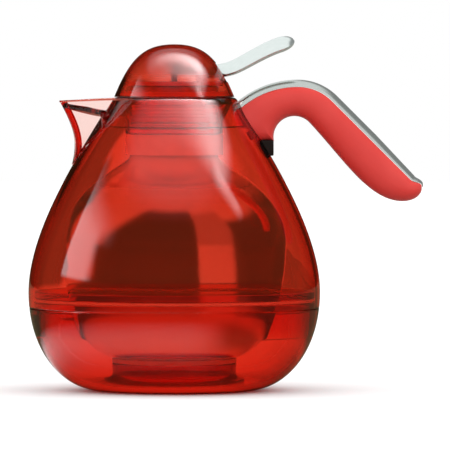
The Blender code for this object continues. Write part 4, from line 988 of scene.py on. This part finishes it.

# Red polypropylene: bright, waxy and half gloss, with faint flow marks. Its colour runs by height from a lighter red
# low in the cup's wall, painted light as if glowing through the thin wall, to a deeper red in the flange and the cover.
PAINTED_GLOW_Z = 186.0
PAINTED_DEEP_Z = 195.0
red_stopper, tree, place = new_finish("red_polypropylene")
height = add_node(tree, "SeparateXYZ", {0: place}).node.outputs["Z"]
# Share of the deeper red by height; the lighter red below it is painted light.
thick = add_node(tree, "MapRange", {"Value": height, "From Min": PAINTED_GLOW_Z * MM, "From Max": PAINTED_DEEP_Z * MM})
painted_reds = []
for glow_red, deep_red in (("#FF7C6E", "#C8463C"), ("#F8685B", "#B83C32")):
    red = {0: thick, 6: linear(glow_red), 7: linear(deep_red)}
    painted_reds.append(add_node(tree, "Mix", red, data_type="RGBA"))
mottled(tree, place, *painted_reds, (0.25, 0.38), spot=9.0, detail=3.0, others={"IOR": 1.49})
dress(stopper, red_stopper, "lid", "red_stopper", "stopper_body")

# Stopper seal: a ring with three lips that closes the gap to the collar's sleeve. It is moulded in clear silicone and
# stretched into the stopper's groove.
LIP_EDGE = 0.2
lip_root = STOPPER_RADIUS - LIP_SEAL_DEPTH + FIT
lip_reach = SLEEVE_BORE - FIT
low, high = lip_low + FIT, lip_high - FIT
middle = (low + high) / 2
outline = [
    (lip_root, high),
    (lip_reach, high),
    (STOPPER_RADIUS, (high + middle) / 2),
    (lip_reach, middle),
    (STOPPER_RADIUS, (low + middle) / 2),
    (lip_reach, low),
    (lip_root, low),
]
lip_ring = bevelled(turned("stopper_ring", outline), LIP_EDGE, 2)
dress(lip_ring, clear_silicone, "lid", "clear_silicone", "stopper_seal")

# Valve: a moulded white plastic plug with a silicone seal, held on a turned steel stem by a nut. It lies on the
# stopper's seat. The CAD solids show as they are, with their own finishes.
for node, finish in {
    "valve_seal": clear_silicone,
    "valve_plug": white_plastic,
    "valve_stem": stainless_steel,
    "stem_nut": stainless_steel,
}.items():
    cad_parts[node].data.materials[0] = finish

# Valve spring: a coil of drawn stainless wire between the plug and the stopper's cover, which keeps the valve shut. It
# rides on the plug and moves with it whole, on a mesh of its own.
SPRING_RADIUS = 8.0
SPRING_WIRE = 1.3
SPRING_TURNS = 6
SPRING_LOW_Z = 177.4
SPRING_TOP_Z = 198.0
WIRE_SIDES = 12
TURN_STEPS = 36


def standing_circle(name, place, radius, **settings):
    """A circle that faces along Y, open in edit mode at its place."""
    settings |= {"radius": radius * MM, "rotation": (math.pi / 2, 0.0, 0.0)}
    made = start(name, bpy.ops.mesh.primitive_circle_add, **settings)
    bpy.ops.object.transform_apply(rotation=True)
    edit(made)
    bpy.ops.transform.translate(value=[way * MM for way in place])
    return made


coil_start = (SPRING_RADIUS, 0.0, SPRING_LOW_Z + SPRING_WIRE / 2)
spring = standing_circle("valve_coil", coil_start, SPRING_WIRE / 2, vertices=WIRE_SIDES)
bpy.ops.object.mode_set(mode="OBJECT")
coil = {"angle": 2.0 * math.pi, "iterations": SPRING_TURNS, "steps": TURN_STEPS, "render_steps": TURN_STEPS}
coil["screw_offset"] = (SPRING_TOP_Z - SPRING_LOW_Z - SPRING_WIRE) / SPRING_TURNS * MM
worked(spring, "SCREW", None, **coil)
edit(spring)
bpy.ops.mesh.fill_holes(sides=0)
close()
dress(spring, stainless_steel, "valve", "stainless_steel", "valve_spring")
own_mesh(spring)

# Stopper plate: the moulded red cover of the stopper, pressed into the cup. It guides the stem and carries two ears
# with the lever's steel pin.
PIVOT_X = 18.0
PIVOT_Z = 211.0
PIN_RADIUS = 1.5
EAR_RADIUS = 3.5
EAR_INNER_Y = 5.4
EAR_OUTER_Y = 8.4
PLATE_SPIGOT = 2.4
STEM_RADIUS = 2.0
PLATE_EDGE = 0.4
EAR_ROOT = 1.0
BAR_SIDES = 48
PIN_BORE_REACH = 20.0
guide = STEM_RADIUS + FIT
plate_edge = radius_at(lid_inner, PLATE_TOP_Z) - FIT
outline = [
    (guide, PLATE_TOP_Z),
    (plate_edge, PLATE_TOP_Z),
    (plate_edge, PLATE_BOTTOM_Z),
    (STOPPER_BORE - FIT, PLATE_BOTTOM_Z),
    (STOPPER_BORE - FIT, PLATE_BOTTOM_Z - PLATE_SPIGOT),
    (guide, PLATE_BOTTOM_Z - PLATE_SPIGOT),
]
plate = bevelled(turned("stopper_cover", outline), PLATE_EDGE, 2)


def bar(x, z, radius, low_y, high_y):
    """A round tool bar across the carafe."""
    made = standing_circle("tool_bar", (x, low_y, z), radius, vertices=BAR_SIDES, fill_type="NGON")
    bpy.ops.mesh.extrude_region_move(TRANSFORM_OT_translate={"value": (0.0, (high_y - low_y) * MM, 0.0)})
    close()
    return made


def pin_bore():
    """The bar that bores a piece for the lever's pin."""
    return bar(PIVOT_X, PIVOT_Z, PIN_RADIUS + FIT, -PIN_BORE_REACH, PIN_BORE_REACH)


for low_y, high_y in ((EAR_INNER_Y, EAR_OUTER_Y), (-EAR_OUTER_Y, -EAR_INNER_Y)):
    ear_low = (PIVOT_X - EAR_RADIUS, low_y, PLATE_TOP_Z - EAR_ROOT)
    plate = cut(plate, block(ear_low, (PIVOT_X + EAR_RADIUS, high_y, PIVOT_Z)), "UNION")
    plate = cut(plate, bar(PIVOT_X, PIVOT_Z, EAR_RADIUS, low_y, high_y), "UNION")
plate = cut(plate, pin_bore())
dress(plate, red_stopper, "lid", "red_stopper", "stopper_plate")
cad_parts["lever_pin"].data.materials[0] = stainless_steel

# Thumb lever: a cast and chromed metal lever with a thumb pad outside the dome. It turns on the pin, and its fork lifts
# the head of the valve's stem.
LEVER_PRESS = math.radians(11.0)
LEVER_HUB_RADIUS = 3.4
LEVER_NECK_WIDTH = 10.0
LEVER_NECK_THICK = 9.0
LEVER_PAD_WIDTH = 17.0
LEVER_PAD_THICK = 10.6
LEVER_REACH = 48.0
LEVER_CLIMB = 20.5
LEVER_NECK_PULL = 6.3
LEVER_NECK_DIP = 4.8
LEVER_PAD_PULL_BACK = 24.8
LEVER_PAD_PULL_DOWN = 3.4
LEVER_GROWTH = 0.6
LEVER_END_SHARE = 0.14
LEVER_TIP_SHARE = 0.12
LEVER_SECTION = (1.0, 1.6, 1.0)
LEVER_EDGE = -0.6
LEVER_DROP = 1.1
LEVER_DROP_RATE = 3.0
LEVER_SIDES = 32
FORK_HEIGHT = 4.4
FORK_CROTCH = 5.0
FORK_CUT = 9.0
SIDE_GAP = 0.4
SLOT_GAP = 0.6
LEVER_STEPS = 72
wall = radius_at(lid_outer, PIVOT_Z)
lever_tip = (wall + LEVER_REACH, PIVOT_Z + LEVER_CLIMB)
centres = bezier(
    (PIVOT_X, PIVOT_Z),
    (wall + LEVER_NECK_PULL, PIVOT_Z - LEVER_NECK_DIP),
    (lever_tip[0] - LEVER_PAD_PULL_BACK, lever_tip[1] - LEVER_PAD_PULL_DOWN),
    lever_tip,
    LEVER_STEPS,
)
stations = []
slot_low = slot_high = PIVOT_Z
slot_half = LEVER_NECK_WIDTH / 2
for step, centre in enumerate(centres):
    along = heading(centres, step)
    grown = max((centre[0] - wall) / (lever_tip[0] - wall), 0.0) ** LEVER_GROWTH
    rounding = max((step / LEVER_STEPS - 1.0) / LEVER_END_SHARE + 1.0, 0.0)
    end = max(math.sqrt(max(1.0 - rounding**2, 0.0)), LEVER_TIP_SHARE)
    thick = (LEVER_NECK_THICK + (LEVER_PAD_THICK - LEVER_NECK_THICK) * grown) / 2 * end
    wide = (LEVER_NECK_WIDTH + (LEVER_PAD_WIDTH - LEVER_NECK_WIDTH) * grown) / 2 * end
    sink = LEVER_DROP * min(LEVER_DROP_RATE * grown, 1.0)
    centre = (centre[0] + along[1] * sink, centre[1] - along[0] * sink)
    stations.append((centre, (-along[1] * thick, along[0] * thick), wide))
    if centre[0] < radius_at(lid_outer, centre[1] + thick):
        slot_high = max(slot_high, centre[1] + thick)
    sunk = PIVOT_Z - (centre[0] - PIVOT_X) * math.sin(LEVER_PRESS)
    sunk += (centre[1] - thick - PIVOT_Z) * math.cos(LEVER_PRESS)
    if centre[0] < radius_at(lid_outer, sunk):
        slot_low = min(slot_low, sunk)
        slot_half = max(slot_half, wide)
section = rounded_section(LEVER_SECTION, LEVER_SIDES)
section = [(across, LEVER_EDGE + up * (1.0 - math.copysign(1.0, up) * LEVER_EDGE)) for across, up in section]
lever = swept("lever_casting", section, stations)
half = LEVER_NECK_WIDTH / 2
gap = STEM_RADIUS + SIDE_GAP
lever = cut(lever, bar(PIVOT_X, PIVOT_Z, LEVER_HUB_RADIUS, -half, half), "UNION")
fork = block((0.0, -half, PIVOT_Z - FORK_HEIGHT / 2), (PIVOT_X, half, PIVOT_Z + FORK_HEIGHT / 2))
fork = cut(fork, bar(0.0, PIVOT_Z, FORK_HEIGHT / 2, -half, half), "UNION")
fork = cut(fork, block((-PIVOT_X, -gap, PIVOT_Z - FORK_CUT), (FORK_CROTCH, gap, PIVOT_Z + FORK_CUT)))
lever = cut(lever, fork, "UNION")
lever = cut(lever, pin_bore())
dress(lever, chrome, "lever", "chrome", "thumb_lever")

# Lid dome: the see-through cover over the stopper, moulded in red acrylic and pressed on the stopper's flange. The
# lever passes through a slot, and the inside is frosted above the lid's band.
FROST_LOW_Z = 202.0
FROST_HIGH_Z = 211.0
FROST_RIM = 0.4
FROST_INSET = 1.0
DOME_EDGE = 0.5
SLOT_END_X = 80.0
SLOT_ROUND = 1.5
dome = bevelled(turned("dome_moulding", lid_inner + lid_outer[::-1]), DOME_EDGE)
slot_start = (PIVOT_X, -slot_half - SLOT_GAP, slot_low - SLOT_GAP)
dome = cut(dome, block(slot_start, (SLOT_END_X, slot_half + SLOT_GAP, slot_high + SLOT_GAP), SLOT_ROUND))
matt = dome.data.attributes.new("frost", "FLOAT", "POINT")
for vert, mark in zip(dome.data.vertices, matt.data):
    r, z = math.hypot(vert.co.x, vert.co.y) / MM, vert.co.z / MM
    if z < LID_BOTTOM_Z + FROST_RIM:
        mark.value = 1.0
    elif r < radius_at(lid_outer, z) - FROST_INSET and z < LID_TOP_Z - FROST_INSET:
        mark.value = min(max((z - FROST_LOW_Z) / (FROST_HIGH_Z - FROST_LOW_Z), 0.0), 1.0)
dress(dome, red_acrylic, "lid", "red_acrylic", "lid_dome")

# Studio: a white surround that the camera sees plain, round a dim room with soft boxes. Gloss, satin finishes, the
# silvered bottle and see-through walls each see it in a light of their own. Bearings run from the camera's side, with
# plus to the right. Sizes from here on are in metres.
ALL_ROUND = (-400, 400)
WHITE = (1.0, 1.0, 1.0, 1.0)
DIM = (0.16, 0.14, 0.05)
CARD = (0.33, 0.27, 0.2)
ROOM_LIGHT = 1.25
WALL_LIGHT = 0.66
# Each box has its bearings, its elevations, the softness of its left, right, lower and upper edge, and its colour. A
# last value makes its sides lean, in degrees of bearing for each degree of elevation.
STUDIO = {
    # First reflections on polished walls: a dark room, lighter in front, a bright ceiling, and a strip on the left with
    # a dim zone beside it.
    "gloss": [
        (ALL_ROUND, (-90, 47), (1, 1, 1, 14), (0.02, 0.016, 0.006)),
        ((-130, 130), (-90, 47), (40, 40, 1, 14), DIM),
        (ALL_ROUND, (62, 100), (1, 1, 12, 1), (1.5, 1.5, 1.5)),
        ((-103, -68), (9, 34), (3, 30, 3, 14), (4.0, 4.0, 4.0)),
        ((-73, -20), (-90, 31), (10, 10, 1, 10), DIM),
    ],
    # Light on matt surfaces: brighter from the camera's side.
    "room": [((-110, 110), (-15, 65), (60, 60, 20, 40), (1.65, 1.65, 1.65))],
    # Reflections in satin plastic and chrome: dim on the right.
    "satin": [((60, 180), (0, 55), (30, 20, 20, 20), (0.3, 0.3, 0.3))],
    # Reflections behind a wall, as in the silvered bottle: dark zones in front, on the right and behind on the left.
    "mirror": [
        ((-100, 24), (-90, 60), (14, 2, 1, 14), (0.16, 0.14, 0.1)),
        ((-300, -80), (-90, 80), (1, 20, 1, 1), (1.0, 1.0, 1.0), 0.6),
        ((24, 62), (-90, 54), (2, 8, 1, 12), (0.65, 0.65, 0.65)),
        ((62, 165), (-90, 36), (8, 8, 1, 14), (0.17, 0.15, 0.11)),
        ((-400, -133), (-90, 32), (1, 12, 1, 8), (0.04, 0.03, 0.02)),
    ],
    # What shows straight through the walls: dim cards behind on both sides.
    "through": [
        ((-170, -100), (-60, 50), (8, 20, 20, 20), CARD),
        ((-177.8, -165), (0.0, 2.8), (0.8, 10, 0.4, 0.6), CARD),
        ((100, 170), (-60, 50), (20, 8, 20, 20), (0.75, 0.68, 0.55)),
        ((150, 178), (-6, 2.4), (10, 1, 1, 0.8), (0.7, 0.65, 0.55)),
    ],
}


def box_mask(tree, across, up, sides, heights, soft):
    """1 inside a box of the studio, with its own softness at the left, right, lower and upper edge."""
    mask = 1.0
    edges = ((across, sides[0], 1), (across, sides[1], -1), (up, heights[0], 1), (up, heights[1], -1))
    for (value, edge, way_in), width in zip(edges, soft):
        ramp = {"Value": value, "From Min": edge - way_in * width / 2, "From Max": edge + way_in * width / 2}
        ramp = add_node(tree, "MapRange", ramp, interpolation_type="SMOOTHSTEP")
        mask = add_node(tree, "Math", {0: mask, 1: ramp}, operation="MULTIPLY")
    return mask


def bearing_of(tree, place):
    """Bearing of a direction or place, in degrees from the camera's side, and its X, Y and Z."""
    parts = add_node(tree, "SeparateXYZ", {0: place}).node.outputs
    back = add_node(tree, "Math", {0: parts["Y"], 1: -1.0}, operation="MULTIPLY")
    turn = add_node(tree, "Math", {0: parts["X"], 1: back}, operation="ARCTAN2")
    return add_node(tree, "Math", {0: turn}, operation="DEGREES"), parts


def light_path(tree):
    """What is known of a ray, and for each kind of bounce 1 once the ray has made one."""
    rays, bounced = add_node(tree, "LightPath").node.outputs, {}
    for kind in ("Glossy", "Transmission", "Diffuse"):
        depth = {0: rays[kind + " Depth"], 1: 0.5}
        bounced[kind] = add_node(tree, "Math", depth, operation="GREATER_THAN")
    return rays, bounced


world = bpy.data.worlds.new("studio")
bpy.context.scene.world = world
world.use_nodes = True
tree = world.node_tree
tree.nodes.clear()
bearing, parts = bearing_of(tree, add_node(tree, "TexCoord").node.outputs["Generated"])
rise = add_node(tree, "Math", {0: parts["Z"]}, operation="ARCSINE")
rise = add_node(tree, "Math", {0: rise}, operation="DEGREES")
seen = {}
for ray, boxes in STUDIO.items():
    level = ROOM_LIGHT if ray == "room" else 1.0
    seen[ray] = (level, level, level, 1.0)
    for sides, heights, soft, colour, *lean in boxes:
        across = bearing
        for slope in lean:
            across = add_node(tree, "Math", {0: rise, 1: -slope, 2: bearing}, operation="MULTIPLY_ADD")
        painted = {0: box_mask(tree, across, rise, sides, heights, soft), 6: seen[ray], 7: colour + (1.0,)}
        seen[ray] = add_node(tree, "Mix", painted, data_type="RGBA")
rays, bounced = light_path(tree)
behind_wall = {0: bounced["Diffuse"], 1: bounced["Transmission"]}
behind_wall = add_node(tree, "Math", behind_wall, operation="MULTIPLY")
wall_glow = add_node(tree, "Math", {0: rays["Transmission Depth"], 1: WALL_LIGHT}, operation="MULTIPLY")
gloss = seen["satin"]
for share, colour in ((rays["Is Singular Ray"], seen["gloss"]), (bounced["Transmission"], seen["mirror"])):
    gloss = add_node(tree, "Mix", {0: share, 6: gloss, 7: colour}, data_type="RGBA")
light = seen["room"]
for share, colour in (
    (rays["Is Camera Ray"], WHITE),
    (bounced["Transmission"], seen["through"]),
    (bounced["Glossy"], gloss),
    (bounced["Diffuse"], seen["room"]),
    (behind_wall, wall_glow),
):
    light = add_node(tree, "Mix", {0: share, 6: light, 7: colour}, data_type="RGBA")
shader = add_node(tree, "Background", {"Color": light, "Strength": 1.0})
add_node(tree, "OutputWorld", {"Surface": shader})

# Floor: matt white paper that the carafe stands on and that keeps its shadow. Through a wall it glows plain white, with
# dim zones painted in for the silvered bottle. Gloss sees it painted dark but for a near ring, and what it throws up is
# painted dim.
FLOOR_SIZE = 12.0
FLOOR_PLACE = (0.0, 0.0, -0.0003)
PAPER_END = 0.18
FAR = 100.0
PAPER_WHITES = (0.86, 0.86 * 0.99)
SATIN_DARK = 0.75


def studio_plane(name, size, place, turn=0.0):
    """A plane of the studio, tipped about X and with its place in its mesh."""
    tipped = {"size": size, "location": place, "rotation": (turn, 0.0, 0.0)}
    made = start(name, bpy.ops.mesh.primitive_plane_add, **tipped)
    bpy.ops.object.transform_apply()
    return made


floor = studio_plane("studio_floor", FLOOR_SIZE, FLOOR_PLACE)
paper, tree, place = new_finish("white_studio_paper")
fibre = add_node(tree, "TexNoise", {"Vector": place, "Scale": 1000.0 / 3.0, "Detail": 2.0})
pale, deep = [(white, white, white, 1.0) for white in PAPER_WHITES]
thrown = add_node(tree, "Mix", {0: fibre, 6: pale, 7: deep}, data_type="RGBA")
rays, bounced = light_path(tree)
bearing, parts = bearing_of(tree, place)
flat = add_node(tree, "CombineXYZ", {0: parts["X"], 1: parts["Y"]})
away = add_node(tree, "VectorMath", {0: flat}, operation="LENGTH")
dark = 0.0
for sides, reach, soft, depth in (
    ((-400, -88), (PAPER_END, 0.42), (1, 14, 0.12, 0.1), 1.0),
    ((-88, 24), (PAPER_END, FAR), (14, 2, 0.12, 1), 1.0),
    ((62, 160), (PAPER_END, FAR), (8, 8, 0.12, 1), 1.0),
    ((45, 130), (0.06, 0.13), (40, 40, 0.04, 0.04), 0.62),
):
    zone = box_mask(tree, bearing, away, sides, reach, soft)
    dark = add_node(tree, "Math", {0: zone, 1: depth, 2: dark}, operation="MULTIPLY_ADD")
near = box_mask(tree, bearing, away, (-140, 22), (0.1, 0.19), (30, 30, 0.06, 0.1))
behind = box_mask(tree, bearing, away, (150, 178), (0.6, FAR), (0.6, 1, 0.3, 1))
others = []
for value in (near, bounced["Glossy"], bounced["Diffuse"]):
    others.append(add_node(tree, "Math", {0: 1.0, 1: value}, operation="SUBTRACT"))
not_near, not_glossy, not_diffuse = others
polished = {0: bounced["Transmission"], 1: rays["Is Singular Ray"]}
polished = add_node(tree, "Math", polished, operation="MAXIMUM")
dark = add_node(tree, "Mix", {0: bounced["Transmission"], 2: not_near, 3: dark})
dark = add_node(tree, "Mix", {0: polished, 2: SATIN_DARK, 3: dark})
dark = add_node(tree, "Math", {0: dark, 1: bounced["Glossy"]}, operation="MULTIPLY")
behind = add_node(tree, "Math", {0: behind, 1: not_glossy}, operation="MULTIPLY")
for share, shade in ((dark, (0.1, 0.09, 0.05, 1.0)), (bounced["Diffuse"], (0.45, 0.45, 0.45, 1.0))):
    thrown = add_node(tree, "Mix", {0: share, 6: thrown, 7: shade}, data_type="RGBA")
shown = WHITE
for share, shade in ((dark, (0.16, 0.14, 0.09, 1.0)), (behind, (0.42, 0.36, 0.28, 1.0))):
    shown = add_node(tree, "Mix", {0: share, 6: shown, 7: shade}, data_type="RGBA")
matt = add_node(tree, "BsdfDiffuse", {"Color": thrown})
plain = add_node(tree, "Emission", {"Color": shown, "Strength": 1.0})
share = add_node(tree, "Math", {0: bounced["Transmission"], 1: not_diffuse}, operation="MULTIPLY")
shader = add_node(tree, "MixShader", {0: share, 1: matt, 2: plain})
add_node(tree, "OutputMaterial", {"Surface": shader})
floor.data.materials.append(paper)

# Soft box: a white cloth panel that hangs close over the lid, brightest on the right. Its zones make the streaks on the
# dome and the shoulder, and only polished surfaces see it.
BOX_SIZE = 1.0
BOX_PLACE = (0.04, 0.05, 0.45)


def hang(panel, finish, unseen_by):
    """Gives a panel its finish, lets it light nothing by itself, and hides it from kinds of rays."""
    finish.cycles.emission_sampling = "NONE"
    panel.data.materials.append(finish)
    for ray in ("camera", "diffuse", "volume_scatter", "shadow", unseen_by):
        setattr(panel, "visible_" + ray, False)


panel = studio_plane("studio_soft_box", BOX_SIZE, BOX_PLACE)
cloth, tree, place = new_finish("soft_box_cloth")
parts = add_node(tree, "SeparateXYZ", {0: place}).node.outputs
bright = 0.0
for sides, depths, soft, light in (
    ((0.02, 0.31), (-0.185, 0.04), (0.42, 0.12, 0.1, 0.1), 7.5),
    ((-0.02, 0.25), (-0.07, 0.04), (0.5, 0.1, 0.1, 0.1), 8.5),
    ((0.25, 0.45), (-0.215, -0.165), (0.06, 0.1, 0.06, 0.03), 4.0),
):
    mask = box_mask(tree, parts["X"], parts["Y"], sides, depths, soft)
    bright = add_node(tree, "Math", {0: mask, 1: light, 2: bright}, operation="MULTIPLY_ADD")
gleam = add_node(tree, "Emission", {"Color": WHITE, "Strength": bright})
sharp = add_node(tree, "LightPath").node.outputs["Is Singular Ray"]
clear = add_node(tree, "BsdfTransparent")
lit = add_node(tree, "AddShader", {0: clear, 1: gleam})
shader = add_node(tree, "MixShader", {0: sharp, 1: clear, 2: lit})
add_node(tree, "OutputMaterial", {"Surface": shader})
hang(panel, cloth, "transmission")

# Flag: a dark card that stands close behind the carafe on the left, cut along a slanting line. Only see-through walls
# show it.
FLAG_SIZE = 0.4
FLAG_PLACE = (0.0, 0.15, 0.2)
FLAG_SLANT = 0.42
FLAG_SIDES = (-1.0, -0.112)
FLAG_HEIGHTS = (0.064, 0.152)
flag = studio_plane("studio_flag", FLAG_SIZE, FLAG_PLACE, math.pi / 2)
card, tree, place = new_finish("dark_flag_card")
parts = add_node(tree, "SeparateXYZ", {0: place}).node.outputs
lean = add_node(tree, "Math", {0: parts["Z"], 1: -FLAG_SLANT, 2: parts["X"]}, operation="MULTIPLY_ADD")
mask = box_mask(tree, lean, parts["Z"], FLAG_SIDES, FLAG_HEIGHTS, (0.001, 0.006, 0.006, 0.012))
dim = add_node(tree, "Emission", {"Color": CARD + (1.0,), "Strength": 1.0})
clear = add_node(tree, "BsdfTransparent")
shader = add_node(tree, "MixShader", {0: mask, 1: clear, 2: dim})
add_node(tree, "OutputMaterial", {"Surface": shader})
hang(flag, card, "glossy")

# Camera: five metres off and a little above the carafe, as in the photograph, with a long lens that keeps its outlines
# almost parallel.
CAMERA_PLACE = (0.0335, -5.0, 0.252)
CAMERA_AIM = (0.0335, 0.0, 0.1091)
LENS_MM = 606.0
SENSOR_MM = 36.0
CLIP_END = 100.0
bpy.ops.object.camera_add(location=CAMERA_PLACE)
camera = bpy.context.object
camera.rotation_euler = (Vector(CAMERA_AIM) - camera.location).to_track_quat("-Z", "Y").to_euler()
camera.data.lens = LENS_MM
camera.data.sensor_width = SENSOR_MM
camera.data.clip_end = CLIP_END
bpy.context.scene.camera = camera
bpy.context.scene.view_settings.view_transform = "Standard"
